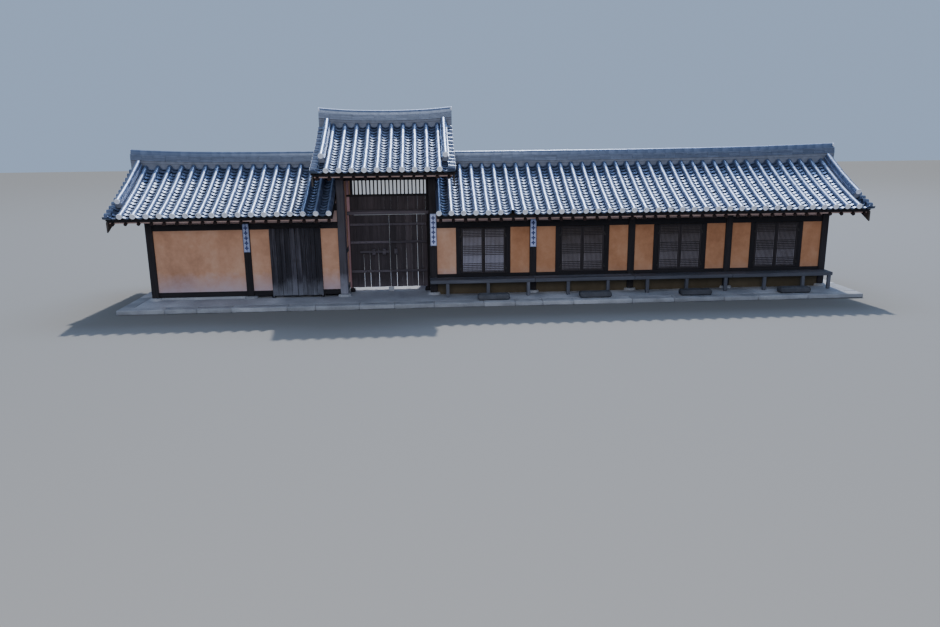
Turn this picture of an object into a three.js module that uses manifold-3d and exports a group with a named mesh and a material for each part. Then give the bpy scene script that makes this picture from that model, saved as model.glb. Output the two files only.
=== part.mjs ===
// A tiled timber range round a courtyard: a raised gate with a low wing on either side.
// Units are millimetres. X runs along the front from left to right, Y from the courtyard to the
// street, and Z up. While it is modelled, X is zero on the gate's right posts, Y is zero on the
// ridge line and Z is zero at the ground. The last group moves X zero to the middle of the range.
import * as THREE from 'three';
import { mergeVertices } from 'three/addons/utils/BufferGeometryUtils.js';
import Module from 'manifold-3d';

const wasm = await Module();
wasm.setup();

// Driving dimensions
const GAP = 0.3; // between two pieces that touch
const MERGE = 2; // how far two joined timbers run into each other
const RIGHT_BAY = 2700;
const RIGHT_BAYS = 4;
const LEFT_BAY = 2500;
const LEFT_BAYS = 2;
const GATE_BAY = 2420;
const HALF_DEPTH = 1200; // from the ridge line to the post lines
const POST = 185;
const GATE_POST = 200;
const GATE_LIFT = 1100; // how far the gate's roof stands above the right wing's roof
const LEFT_LIFT = 50; // how far the left wing's roof stands above the right wing's roof
const GABLE_REACH = 700; // from the end posts to the end of a wing's roof
const GATE_GABLE_REACH = 605;

// Levels
const PLATFORM_TOP = 120;
const PLINTH_TOP = 180;
const LEFT_SILL = [184, 320];
const RIGHT_SILL = [520, 665];
const MID_RAIL = [1210, 1330];
const HEADER = [1915, 2080];
const POST_TOP = 2140;
const TIE_TOP = 2360;
const RIDGE_PURLIN_FOOT = 2920;
const FLOOR_BED = 221; // top of the platform under the raised floor
const FLOOR_TOP = 620;
const GATE_BEAM = [3200, 3340];

// Thicknesses across the walls
const FRAME_DEPTH = 130;
const PLASTER = 90;
const GATE_PLASTER = 100;
const PLATE = 90; // the board between header and purlin
const TIE_WIDTH = 190;
const TIE_HEAD = 120; // how far a tie beam's head stands in front of its post
const PURLIN = 180;
const KING_FOOT = 170; // half the width of a king post at its foot, and at its head
const KING_HEAD = 110;
const KING_HALF = 60;

// Roof section. A distance d is measured from the ridge line out to the eave.
const SLOPE = 0.45;
const RAFTER_END = 2192.5;
const RAFTER_END_Z = 2200;
const RAFTER_RADIUS = 50;
const RAFTER_SIDES = 6;
const RAFTER_PITCH = 310;
const RAFTER_INSET = 100; // from the end of the deck to the first rafter
const DECK_FOOT = 30; // above the rafters' axes
const DECK_TOP = 85;
const DECK_END = 2222.5;
const BATTEN = [2180, 2240];
const BATTEN_TOP = 2318;
const EAVE = 2292.5;
const TROUGH_Z = 2340; // top of the lowest tile in a trough, at the eave
const TROUGH_RISE = 20; // from there to the mean surface of the tiles in a trough
const TILE_PITCH = 312.5; // from one row of round tiles to the next
const ROW_HALF = [76, 48]; // half the width of such a row at its foot and at its top
const ROW_TOP = 155; // above the troughs' lowest tiles
const ROW_INSET = { right: 53, left: 80 }; // from the gate post's outer face to a wing's first row
const ROW_FROM_VERGE = 160; // from the middle of a verge to the row beside it
const EAVE_SLOPE = 0.4;
const RIDGE_SLOPE = 0.62;
const ROOF_STEPS = 4;
const RIDGE_STEPS = 12;
const RIDGE_WIDTH = 300;
const RIDGE_TOP = 3920;
const RIDGE_SINK = 90;
const RIDGE_END_RISE = 100;
const VERGE_INSET = 250;
const VERGE_WIDTH = 200;
const VERGE_HEIGHT = 280;
const VERGE_SINK = 20;
const VERGE_RUN = [120, 1750];
const VERGE_STEPS = 6;
const BARGE = [30, 70]; // a bargeboard's faces, in from the end of the roof
const BARGE_DROP = 175;
const GATE_SIDE_GAP = 3; // from a gate post's outer face to the wing's roof
const TILE_LAP = 35; // the right wing's tiles reach to here, in front of and behind the gate post

// Lattice doors
const CLEAR = 5; // round a leaf
const LATTICE_OPENING = 1200;
const LATTICE_JAMB = 135;
const LATTICE_THICK = 35;
const LATTICE_FRAME = 50;
const LATTICE_PANEL = 15;
const HINGE_LEVELS = [820, 1700];
const HINGE_HALF = 45; // half the height of a hinge
const PIN_RADIUS = 9;
const PIN_REACH = 14; // from the face of a frame out to its hinge pins
const LEAF_TAB = 34;
const JAMB_TAB = 30;
const TAB_SKIN = 3;

// Plank doors of the left wing
const PLANK_CENTRE = -3650;
const PLANK_WIDTH = 1345;
const PLANK_JAMB = 110;
const PLANK_THICK = 35;
const PLANK_LEVELS = [180, 1990];
const PLANK_STANDOFF = 16;
const PLANK_PIVOT_INSET = 22;
const PLANK_PIN = 14;
const PLANK_BLOCK_HALF = 45;
const PIVOT_FOOT = 15; // how far a pivot reaches below its leaf, and above it
const PIVOT_HEAD = 10;

// Gate leaves
const GATE_DOOR_FACE = -632.5; // courtyard face of the gate's door frame
const GATE_FRAME_DEPTH = 120;
const GATE_JAMB = 80;
const GATE_MEETING = 25; // how far right of the gate's middle the leaves meet
const GATE_LEAF_LEVELS = [240, 2240];
const GATE_LEAF_THICK = 40;
const GATE_BATTEN = [50, 65]; // depth and height of a leaf's battens
const GATE_BATTEN_INSET = 15;
const GATE_BATTEN_LEVELS = [692, 1498, 1985];
const GATE_LEAF_EDGE = 55; // from a gate post's side to the leaf's hinged edge
const GATE_PIVOT_INSET = 20;
const GATE_PIN = 16;
const GATE_STANDOFF = 14; // from the door frame to the back of the leaves
const GATE_BLOCK_INSET = 65;
const GATE_STOP = [75, 50, 60]; // the stone under the leaves: half width, and reach each way
const LINTEL = [2250, 2370];
const LINTEL_LEDGE = 90;
const LINTEL_BOARD = 40;
const BAR_RAILS = [[2740, 2790], [3180, 3260]];
const BAR_RAIL_DEPTH = 110;
const BAR_SIDE = 60;
const BAR_COUNT = 20;
const BAR_PITCH = 104;
const BAR = 36;
const LATCH = [45, 65]; // depth and height of the gate's bar
const LATCH_LENGTH = 800;
const LATCH_INSET = 15; // from the meeting edge to the end of the bar
const LATCH_Z = 1238;
const KEEPERS = { left: [-1620, -1340], right: [-1020] };
const KEEPER_WIDTH = 90;
const KEEPER_OUT = 75;
const KEEPER_LIP = 40;

// Ground works
const PLATFORM_HALF = 2440;
const PLATFORM_REACH = 600; // beyond the end posts
const PLINTH_SINK = 20;
const PLINTH_RADIUS = [150, 200]; // at the top and at the foot
const GATE_PLINTH_RADIUS = [150, 165];
const PORCH_FRONT = 1742.5; // from the ridge line
const PORCH_START = -100;
const PORCH_TOP = 580;
const PORCH_BOARD = 35;
const PORCH_BEAM = [486, 546];
const PORCH_BEAM_WIDTH = 90;
const PORCH_JOIST = 70;
const PORCH_LEG = 85;
const PORCH_LEG_START = 360;
const PORCH_LEG_PITCH = 1080;
const STEP_SIZE = [830, 300, 155];
const STEP_FRONT = 2245; // from the ridge line
const STEP_SHIFT = 200; // from the middle of a bay to the middle of its step stone

// Boards hung on the posts
const BOARD_SIZE = [160, 22];
const GATE_BOARD_SHIFT = 12;
const GATE_BOARD_LEVELS = [1452, 2305];
const WING_BOARD_LEVELS = [1374, 2130];

const COLOURS = {
  timber: 0x3b3028,
  weathered: 0x4a4440,
  plaster: 0xb98a63,
  earth: 0xb58f6c,
  tile: 0x39424f,
  stone: 0x77736d,
  paper: 0xb9b6ae,
  board: 0xc9ccd2,
};
const material = (key, roughness) =>
  new THREE.MeshStandardMaterial({ color: COLOURS[key], roughness, metalness: 0 });
const TIMBER = material('timber', 0.8);
const WEATHERED = material('weathered', 0.85);
const PLASTERED = material('plaster', 0.95);
const TILED = material('tile', 0.5);
const STONE = material('stone', 0.9);
const EARTH = material('earth', 0.95);
const PAPER = material('paper', 0.9);
const BOARD = material('board', 0.8);

// Small helpers. A hand or an out is -1 to the left and 1 to the right.
const HANDS = [-1, 1];
const sorted = (a, b) => (a < b ? [a, b] : [b, a]);
const mid = (a, b) => (a + b) / 2;
const series = (count, at) => Array.from({ length: count }, (_, n) => at(n));
const about = (centre, width) => [centre - width / 2, centre + width / 2];
const raised = (zs, lift) => zs.map((z) => z + lift);

// A wing runs outwards from the gate post at start. Its heads and its roof may be lifted.
function wingOf(start, out, count, bay, lift) {
  const posts = series(count, (n) => start + out * (n + 1) * bay);
  const roofEnd = posts.at(-1) + out * GABLE_REACH;
  return {
    out,
    lift,
    posts,
    roofEnd,
    header: raised(HEADER, lift),
    gateFace: start + out * GATE_POST / 2,
    end: posts.at(-1),
    timberEnd: roofEnd - out * (BARGE[1] + GAP),
  };
}
const gateLeft = -GATE_BAY;
const right = wingOf(0, 1, RIGHT_BAYS, RIGHT_BAY, 0);
const left = wingOf(gateLeft, -1, LEFT_BAYS, LEFT_BAY, LEFT_LIFT);
const gateEnds = [gateLeft - GATE_GABLE_REACH, GATE_GABLE_REACH];
const gateTimber = [gateEnds[0] + BARGE[1] + GAP, gateEnds[1] - BARGE[1] - GAP];
const gateCentre = gateLeft / 2;
const gateHalf = GATE_BAY / 2 - GATE_POST / 2; // from the gate's middle to its posts
const wallFace = -HALF_DEPTH - FRAME_DEPTH / 2;
const floorHalf = HALF_DEPTH - POST / 2 - GAP;

// Solids
function solid(geometry) {
  const plain = geometry.index ? geometry.clone() : geometry;
  for (const name of ['normal', 'uv']) plain.deleteAttribute(name);
  const merged = mergeVertices(plain, 0.001);
  return new wasm.Manifold(new wasm.Mesh({
    numProp: 3,
    vertProperties: new Float32Array(merged.attributes.position.array),
    triVerts: new Uint32Array(merged.index.array),
  }));
}

// A box with its corners exactly on the given numbers, so that neighbours' faces lie in one plane.
function box(xs, ys, zs) {
  const spans = [sorted(...xs), sorted(...ys), zs];
  const geometry = new THREE.BoxGeometry(2, 2, 2);
  const { array } = geometry.attributes.position;
  array.forEach((side, n) => {
    array[n] = spans[n % 3][side > 0 ? 1 : 0];
  });
  return solid(geometry);
}

// A section drawn in Y and Z, drawn out along X between two exact ends.
function prismX(points, xs) {
  const span = sorted(...xs);
  const shape = new THREE.Shape(points.map(([y, z]) => new THREE.Vector2(y, z)));
  const geometry = new THREE.ExtrudeGeometry(shape, { depth: 1, bevelEnabled: false });
  const at = geometry.attributes.position;
  for (let n = 0; n < at.count; n += 1) {
    at.setXYZ(n, span[at.getZ(n) > 0.5 ? 1 : 0], at.getX(n), at.getY(n));
  }
  return solid(geometry);
}

// A side view drawn in X and Z, drawn out along Y about the ridge line.
function prismY(points, width) {
  const shape = new THREE.Shape(points.map(([x, z]) => new THREE.Vector2(x, z)));
  const geometry = new THREE.ExtrudeGeometry(shape, { depth: width, bevelEnabled: false });
  geometry.rotateX(Math.PI / 2);
  geometry.translate(0, width / 2, 0);
  return solid(geometry);
}

function drum(x, y, zs, [topRadius, footRadius], sides) {
  const geometry = new THREE.CylinderGeometry(topRadius, footRadius, zs[1] - zs[0], sides);
  geometry.rotateX(Math.PI / 2);
  geometry.translate(x, y, mid(...zs));
  return solid(geometry);
}

const pin = (x, y, zs, radius) => drum(x, y, zs, [radius, radius], 10);

const join = (pieces) => pieces.reduce((whole, piece) => whole.add(piece));

const parts = new THREE.Group();
function add(name, manifold, look) {
  const mesh = manifold.getMesh();
  const geometry = new THREE.BufferGeometry();
  geometry.setAttribute('position', new THREE.BufferAttribute(mesh.vertProperties, 3));
  geometry.setIndex(new THREE.BufferAttribute(mesh.triVerts, 1));
  geometry.computeVertexNormals();
  const part = new THREE.Mesh(geometry, look);
  part.name = name;
  parts.add(part);
}

// Roof section: heights above the ground at a distance d from the ridge line
const axisZ = (d) => RAFTER_END_Z + SLOPE * (RAFTER_END - d);
const rafterFoot = (d) => axisZ(d) - RAFTER_RADIUS * Math.hypot(1, SLOPE);
function troughZ(d) {
  const e = EAVE - d;
  return TROUGH_Z + EAVE_SLOPE * e + (RIDGE_SLOPE - EAVE_SLOPE) * e * e / (2 * EAVE);
}

// A line over both slopes, from points that run from the eave up to the ridge.
function bothSlopes(points) {
  const ridge = points.at(-1);
  const slope = points.slice(0, -1);
  return [...slope, ridge, ...slope.map(([d, z]) => [-d, z]).reverse()];
}

// A purlin whose top is cut to the rafters' slope; side is -1 at the front and 1 at the back.
function purlin(side, xs, lift) {
  const [near, far] = about(HALF_DEPTH, PURLIN);
  return prismX([
    [side * near, TIE_TOP + lift],
    [side * far, TIE_TOP + lift],
    [side * far, rafterFoot(far) - GAP + lift],
    [side * near, rafterFoot(near) - GAP + lift],
  ], xs);
}

function ridgePurlin(xs, lift, grow = 0) {
  const half = PURLIN / 2 + grow;
  const top = lift + grow - GAP;
  return prismX([
    [-half, RIDGE_PURLIN_FOOT - grow + lift],
    [half, RIDGE_PURLIN_FOOT - grow + lift],
    [half, rafterFoot(half) + top],
    [0, rafterFoot(0) + top],
    [-half, rafterFoot(half) + top],
  ], xs);
}

function tieBeam(x, lift) {
  const reach = HALF_DEPTH + POST / 2 + TIE_HEAD;
  return box(about(x, TIE_WIDTH), [-reach, reach], [POST_TOP + GAP + lift, TIE_TOP - GAP + lift]);
}

const kingPost = (x, lift) => prismX([
  [-KING_FOOT, TIE_TOP - MERGE + lift],
  [KING_FOOT, TIE_TOP - MERGE + lift],
  [KING_HEAD, RIDGE_PURLIN_FOOT + lift],
  [-KING_HEAD, RIDGE_PURLIN_FOOT + lift],
], [x - KING_HALF, x + KING_HALF]);

// One long wall of a wing: its posts, rails and purlin. The pieces of each bay come from bayWork.
function longWall(wing, side, sill, bayWork) {
  const { out, lift, header, posts } = wing;
  const across = (depth) => about(side * HALF_DEPTH, depth);
  const wallStart = wing.gateFace + out * GAP;
  const pieces = posts.map((x) => box(about(x, POST), across(POST),
    [PLINTH_TOP + GAP, POST_TOP + lift]));
  posts.forEach((post, n) => {
    const from = n === 0 ? wallStart : posts[n - 1] + out * (POST / 2 - MERGE);
    const plateFrom = n === 0 ? wallStart : posts[n - 1] + out * (TIE_WIDTH / 2 + GAP);
    const xs = sorted(from, post - out * (POST / 2 - MERGE));
    pieces.push(
      box(xs, across(FRAME_DEPTH), sill),
      box(xs, across(FRAME_DEPTH), header),
      box([plateFrom, post - out * (TIE_WIDTH / 2 + GAP)], across(PLATE),
        [header[1] - MERGE, TIE_TOP + lift + MERGE]),
      ...bayWork({ xs, n, across, header }),
    );
  });
  pieces.push(purlin(side, [wallStart, wing.timberEnd], lift));
  return join(pieces);
}

// One half of each of a lattice leaf's hinges. The leaf's half sits on the pins of the jamb's half.
function hingeHalves(x, inward, { onLeaf }) {
  const tab = onLeaf ? [x, x + inward * LEAF_TAB] : [x, x - inward * JAMB_TAB];
  const root = wallFace + (onLeaf ? CLEAR : MERGE);
  return HINGE_LEVELS.flatMap((z) => {
    const zs = onLeaf ? [z + GAP, z + HINGE_HALF] : [z - HINGE_HALF, z];
    return [
      pin(x, wallFace - PIN_REACH, zs, PIN_RADIUS),
      box(tab, [wallFace - PIN_REACH - TAB_SKIN, root], zs),
    ];
  });
}

const bayCentre = (n) => (n + 0.5) * RIGHT_BAY;
const latticeEdge = (n, hand) => bayCentre(n) + hand * LATTICE_OPENING / 2;
function latticeBay({ n, across, header }) {
  return HANDS.flatMap((hand) => {
    const inner = latticeEdge(n, hand);
    return [
      box([inner, inner + hand * LATTICE_JAMB], across(FRAME_DEPTH),
        [RIGHT_SILL[1] - MERGE, header[0] + MERGE]),
      ...hingeHalves(inner, -hand, { onLeaf: false }),
    ];
  });
}

const plankLeafY = [wallFace - PLANK_STANDOFF - PLANK_THICK, wallFace - PLANK_STANDOFF];
const plankPivot = (hand) => PLANK_CENTRE + hand * (PLANK_WIDTH / 2 - PLANK_PIVOT_INSET);
function plankBay({ n, across, header }) {
  if (n > 0) return [];
  const blockFoot = PLATFORM_TOP + PIVOT_FOOT;
  return HANDS.flatMap((hand) => {
    const outer = PLANK_CENTRE + hand * PLANK_WIDTH / 2;
    const block = about(plankPivot(hand), 2 * PLANK_BLOCK_HALF);
    const blockY = [plankLeafY[0], wallFace + MERGE];
    return [
      box([outer, outer - hand * PLANK_JAMB], across(FRAME_DEPTH),
        [LEFT_SILL[1] - MERGE, header[0] + MERGE]),
      box(block, blockY, [blockFoot, PLANK_LEVELS[0] - PIVOT_FOOT - GAP]),
      box(block, [wallFace, wallFace + PIVOT_FOOT], [blockFoot, LEFT_SILL[0] + MERGE]),
      box(block, blockY, [PLANK_LEVELS[1] + PIVOT_HEAD + GAP, PLANK_LEVELS[1] + PLANK_BLOCK_HALF]),
    ];
  });
}

// A blind bay of the rear wall: plaster above and below a middle rail.
const rearBay = ({ xs, across, header }) => [
  box(xs, across(PLASTER), [PLINTH_TOP + GAP, header[0] + MERGE]),
  box(xs, across(FRAME_DEPTH), MID_RAIL),
];

// A wall across the building under a gable, with its tie beam, king post and infill.
function crossWall(x, { thickness, postHalf, sill, lift }) {
  const reach = HALF_DEPTH - postHalf - GAP;
  const gable = HALF_DEPTH - PURLIN / 2 - GAP;
  const shell = (depth, zs) => box(about(x, depth), [-reach, reach], zs);
  const infill = prismX([
    [-gable, TIE_TOP - MERGE + lift],
    [gable, TIE_TOP - MERGE + lift],
    [gable, rafterFoot(gable) - GAP + lift],
    [0, rafterFoot(0) - GAP + lift],
    [-gable, rafterFoot(gable) - GAP + lift],
  ], about(x, thickness));
  return join([
    shell(thickness, [PLINTH_TOP + GAP, POST_TOP + GAP + MERGE + lift]),
    shell(FRAME_DEPTH, sill),
    shell(FRAME_DEPTH, MID_RAIL),
    tieBeam(x, lift),
    infill,
    kingPost(x, lift),
  ]);
}

function endWall(wing, sill) {
  const wall = crossWall(wing.end, {
    thickness: PLASTER, postHalf: POST / 2, sill, lift: wing.lift,
  });
  return wall.subtract(ridgePurlin(about(wing.end, 2 * TIE_HEAD), wing.lift, GAP));
}

// Leaves of the lattice and the plank doors
function latticeLeaf(bay, hand) {
  const hinge = latticeEdge(bay, hand);
  const xs = sorted(hinge - hand * CLEAR, bayCentre(bay) + hand * CLEAR / 2);
  const zs = [RIGHT_SILL[1] + CLEAR, right.header[0] - CLEAR];
  const ys = [wallFace, wallFace + LATTICE_THICK];
  const recess = (LATTICE_THICK - LATTICE_PANEL) / 2;
  const inner = ([low, high]) => [low + LATTICE_FRAME, high - LATTICE_FRAME];
  return box(xs, ys, zs)
    .subtract(box(inner(xs), [ys[0] - MERGE, ys[0] + recess], inner(zs)))
    .subtract(box(inner(xs), [ys[1] - recess, ys[1] + MERGE], inner(zs)))
    .add(join(hingeHalves(hinge, -hand, { onLeaf: true })));
}

// The wooden pins that a leaf turns on, below and above it.
const pivotPins = (x, y, [foot, head], radius) => [
  pin(x, y, [foot - PIVOT_FOOT, foot + MERGE], radius),
  pin(x, y, [head - MERGE, head + PIVOT_HEAD], radius),
];

function plankLeaf(hand) {
  const xs = [PLANK_CENTRE + hand * PLANK_WIDTH / 2, PLANK_CENTRE + hand * CLEAR / 2];
  return join([
    box(xs, plankLeafY, PLANK_LEVELS),
    ...pivotPins(plankPivot(hand), mid(...plankLeafY), PLANK_LEVELS, PLANK_PIN),
  ]);
}

// The gate's leaves and the bar that slides in the keepers on them
const gateLeafY = [GATE_DOOR_FACE - GATE_STANDOFF - GATE_LEAF_THICK, GATE_DOOR_FACE - GATE_STANDOFF];
const battenFace = gateLeafY[0] - GATE_BATTEN[0];
const gateLeafEdge = (hand) => gateCentre + hand * (gateHalf - GATE_LEAF_EDGE);
const gatePivot = (hand) => gateLeafEdge(hand) - hand * GATE_PIVOT_INSET;
const gateMeeting = gateCentre + GATE_MEETING;

function keeper(x) {
  const [foot, head] = about(LATCH_Z, LATCH[1]);
  const block = box(about(x, KEEPER_WIDTH), [battenFace - KEEPER_OUT, gateLeafY[0] + MERGE],
    [foot - CLEAR - KEEPER_LIP, head + CLEAR + KEEPER_LIP]);
  const hole = box(about(x, KEEPER_WIDTH + 2 * MERGE),
    [battenFace - GAP - LATCH[0] - CLEAR, battenFace], [foot - GAP, head + CLEAR]);
  return block.subtract(hole);
}

function gateLeaf(hand) {
  const xs = sorted(gateLeafEdge(hand), gateMeeting + hand * CLEAR / 2);
  const battenXs = [xs[0] + GATE_BATTEN_INSET, xs[1] - GATE_BATTEN_INSET];
  return join([
    box(xs, gateLeafY, GATE_LEAF_LEVELS),
    ...GATE_BATTEN_LEVELS.map((z) => box(battenXs, [battenFace, gateLeafY[0] + MERGE],
      about(z, GATE_BATTEN[1]))),
    ...KEEPERS[hand < 0 ? 'left' : 'right'].map(keeper),
    ...pivotPins(gatePivot(hand), mid(...gateLeafY), GATE_LEAF_LEVELS, GATE_PIN),
  ]);
}

function gateBar() {
  const end = gateMeeting - LATCH_INSET;
  return box([end - LATCH_LENGTH, end], [battenFace - GAP - LATCH[0], battenFace - GAP],
    about(LATCH_Z, LATCH[1]));
}

// The gate's door frame: jambs and lintel, the beam its leaves turn in, and the boards above.
const gateInside = [gateCentre - gateHalf + GAP, gateCentre + gateHalf - GAP];
const gateFrameY = [GATE_DOOR_FACE, GATE_DOOR_FACE + GATE_FRAME_DEPTH];
function gateDoorFrame() {
  const ledgeY = [gateLeafY[0] - GATE_BLOCK_INSET / 2, GATE_DOOR_FACE + MERGE];
  const top = BAR_RAILS[0][0] - GAP;
  const sides = HANDS.flatMap((hand) => {
    const outer = gateCentre + hand * (gateHalf - GAP);
    return [
      box([outer, outer - hand * GATE_JAMB], gateFrameY, [PLATFORM_TOP + GAP, top]),
      box([outer, gatePivot(hand) - hand * GATE_BLOCK_INSET], ledgeY,
        [PLATFORM_TOP + GAP, GATE_LEAF_LEVELS[0] - PIVOT_FOOT - GAP]),
    ];
  });
  return join([
    ...sides,
    box(gateInside, gateFrameY, LINTEL),
    box(gateInside, ledgeY, [LINTEL[0] + GAP, LINTEL[0] + LINTEL_LEDGE]),
    box(gateInside, about(mid(...gateFrameY), LINTEL_BOARD), [LINTEL[1] - MERGE, top]),
  ]);
}

function gateBars() {
  const y = mid(...gateFrameY);
  const railY = about(y, BAR_RAIL_DEPTH);
  const bars = series(BAR_COUNT, (n) => {
    const x = gateCentre + (n - (BAR_COUNT - 1) / 2) * BAR_PITCH;
    return box(about(x, BAR), about(y, BAR),
      [BAR_RAILS[0][1] - MERGE, BAR_RAILS[1][0] + MERGE]);
  });
  const sides = HANDS.map((hand) => {
    const outer = gateCentre + hand * (gateHalf - GAP);
    return box([outer, outer - hand * BAR_SIDE], railY, [BAR_RAILS[0][0], BAR_RAILS[1][1]]);
  });
  return join([...BAR_RAILS.map((zs) => box(gateInside, railY, zs)), ...sides, ...bars]);
}

// The gate's front or rear frame: two tall posts, a beam and a purlin.
function gateFrame(side) {
  const across = (depth) => about(side * HALF_DEPTH, depth);
  const xs = [gateLeft + GATE_POST / 2 - MERGE, -GATE_POST / 2 + MERGE];
  return join([
    ...[gateLeft, 0].map((x) => box(about(x, GATE_POST), across(GATE_POST),
      [PLINTH_TOP + GAP, POST_TOP + GATE_LIFT])),
    box(xs, across(FRAME_DEPTH), GATE_BEAM),
    box(xs, across(PLATE), [GATE_BEAM[1] - MERGE, TIE_TOP + GATE_LIFT + MERGE]),
    purlin(side, gateTimber, GATE_LIFT),
  ]);
}

// The gate's two side walls, joined by the ridge purlin that they carry.
function gateSideWalls() {
  const walls = [gateLeft, 0].map((x) => crossWall(x, {
    thickness: GATE_PLASTER, postHalf: GATE_POST / 2, sill: LEFT_SILL, lift: GATE_LIFT,
  }));
  return join([...walls, ridgePurlin(gateTimber, GATE_LIFT)]);
}

// One rafter of each pair leans on the other at the ridge.
function rafterPair(x, lift) {
  const length = RAFTER_END * Math.hypot(1, SLOPE);
  const radius = RAFTER_RADIUS / Math.cos(Math.PI / RAFTER_SIDES);
  return HANDS.map((side) => {
    const geometry = new THREE.CylinderGeometry(radius, radius, length, RAFTER_SIDES);
    geometry.rotateY(Math.PI / RAFTER_SIDES);
    geometry.rotateX(-side * Math.atan(SLOPE));
    geometry.translate(x, side * RAFTER_END / 2, axisZ(RAFTER_END / 2) + lift);
    return solid(geometry);
  });
}

// Rafters in pairs under one deck, with the battens that carry the eave tiles.
function rafters(xs, lift) {
  const [start, end] = sorted(...xs);
  const line = (rise, d) => axisZ(d) + rise + lift;
  const slope = (rise) => bothSlopes([[DECK_END, line(rise, DECK_END)], [0, line(rise, 0)]]);
  const deck = prismX([...slope(DECK_TOP), ...slope(DECK_FOOT).reverse()], [start, end]);
  const run = end - start - 2 * RAFTER_INSET;
  const count = Math.round(run / RAFTER_PITCH);
  const logs = series(count + 1, (n) => rafterPair(start + RAFTER_INSET + n * run / count, lift));
  const aboveDeck = box([start, end], [-HALF_DEPTH, HALF_DEPTH],
    [line(mid(DECK_FOOT, DECK_TOP), 0), line(2 * DECK_TOP, 0)]);
  const battens = HANDS.map((side) => box([start, end], BATTEN.map((d) => side * d),
    [line(mid(DECK_FOOT, DECK_TOP), BATTEN[1]), BATTEN_TOP + lift]));
  return join([deck, join(logs.flat()).subtract(aboveDeck), ...battens]);
}

// The tiles of both slopes and the earth they lie in, hollowed for the deck and its battens.
function tileSlab(xs, lift) {
  const under = (d) => axisZ(d) + DECK_TOP + GAP;
  const inner = BATTEN[0] - GAP;
  const foot = BATTEN_TOP + 2 * GAP;
  const top = series(ROOF_STEPS + 1, (n) => {
    const d = EAVE * (1 - n / ROOF_STEPS);
    return [d, troughZ(d) + TROUGH_RISE];
  });
  const below = [[EAVE, foot], [inner, foot], [inner, under(inner)], [0, under(0)]];
  const outline = [...bothSlopes(top), ...bothSlopes(below).reverse()];
  return prismX(outline.map(([y, z]) => [y, z + lift]), xs);
}

// A row of round tiles: a section across the row, carried up one slope and down the other.
function tileRow(x, lift) {
  const [foot, top] = ROW_HALF;
  const section = [[-foot, TROUGH_RISE - MERGE], [foot, TROUGH_RISE - MERGE], [top, ROW_TOP], [-top, ROW_TOP]];
  const shape = new THREE.Shape(section.map(([across, rise]) => new THREE.Vector2(across, rise)));
  const geometry = new THREE.ExtrudeGeometry(shape,
    { depth: 2 * EAVE, steps: 2 * ROOF_STEPS, bevelEnabled: false });
  const at = geometry.attributes.position;
  for (let n = 0; n < at.count; n += 1) {
    const y = EAVE - at.getZ(n);
    at.setXYZ(n, x + at.getX(n), y, troughZ(Math.abs(y)) + at.getY(n) + lift);
  }
  return solid(geometry);
}

function tileRows([first, last], lift) {
  const count = Math.round(Math.abs(last - first) / TILE_PITCH);
  return join(series(count + 1, (n) => tileRow(first + n * (last - first) / count, lift)));
}

// The ridge sweeps up to each end that has a rise.
function tileRidge([start, end], lift, [startRise, endRise]) {
  const foot = troughZ(0) - RIDGE_SINK + lift;
  const top = series(RIDGE_STEPS + 1, (n) => {
    const t = n / RIDGE_STEPS;
    const sweep = startRise * (1 - t) ** 4 + endRise * t ** 4;
    return [start + t * (end - start), RIDGE_TOP + lift + sweep];
  });
  return prismY([[start, foot], [end, foot], ...top.reverse()], RIDGE_WIDTH);
}

// The low ridges that run down both slopes beside a gable.
function tileVerge(x, lift) {
  const [start, end] = VERGE_RUN;
  const runs = series(VERGE_STEPS + 1, (n) => start + n * (end - start) / VERGE_STEPS);
  return join(HANDS.map((side) => prismX([
    ...runs.map((d) => [side * d, troughZ(d) - VERGE_SINK + lift]),
    ...runs.map((d) => [side * d, troughZ(d) + VERGE_HEIGHT + lift]).reverse(),
  ], about(x, VERGE_WIDTH))));
}

// The tiles of a wing, from an inner end at or just past the gate post's outer face.
function wingTiles(wing, name, innerEnd) {
  const { out, lift, gateFace, roofEnd } = wing;
  const post = gateFace + out * GATE_SIDE_GAP;
  const verge = roofEnd - out * VERGE_INSET;
  const reach = HALF_DEPTH + GATE_POST / 2 + CLEAR + GATE_SIDE_GAP;
  const besideGate = box([innerEnd - out * TILE_LAP, post], [-reach, reach], [POST_TOP, RIDGE_TOP]);
  const rises = out > 0 ? [0, RIDGE_END_RISE] : [RIDGE_END_RISE, 0];
  return join([
    tileSlab(sorted(innerEnd, roofEnd), lift),
    tileRows([gateFace + out * ROW_INSET[name], verge - out * ROW_FROM_VERGE], lift),
  ]).subtract(besideGate).add(join([
    tileRidge(sorted(post, roofEnd), lift, rises),
    tileVerge(verge, lift),
  ]));
}

function gateTiles() {
  const [start, end] = gateEnds;
  const verges = [start + VERGE_INSET, end - VERGE_INSET];
  return join([
    tileSlab(gateEnds, GATE_LIFT),
    tileRows([verges[0] + ROW_FROM_VERGE, verges[1] - ROW_FROM_VERGE], GATE_LIFT),
    tileRidge(gateEnds, GATE_LIFT, [RIDGE_END_RISE, RIDGE_END_RISE]),
    ...verges.map((x) => tileVerge(x, GATE_LIFT)),
  ]);
}

// A pair of bargeboards that meet at the ridge; out is the side of the roof they close.
function bargeboards(end, out, lift) {
  const line = (rise) => bothSlopes([
    [DECK_END, axisZ(DECK_END) + rise + lift],
    [0, axisZ(0) + rise + lift],
  ]);
  return prismX([...line(DECK_TOP), ...line(-BARGE_DROP).reverse()],
    BARGE.map((inset) => end - out * inset));
}

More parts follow.
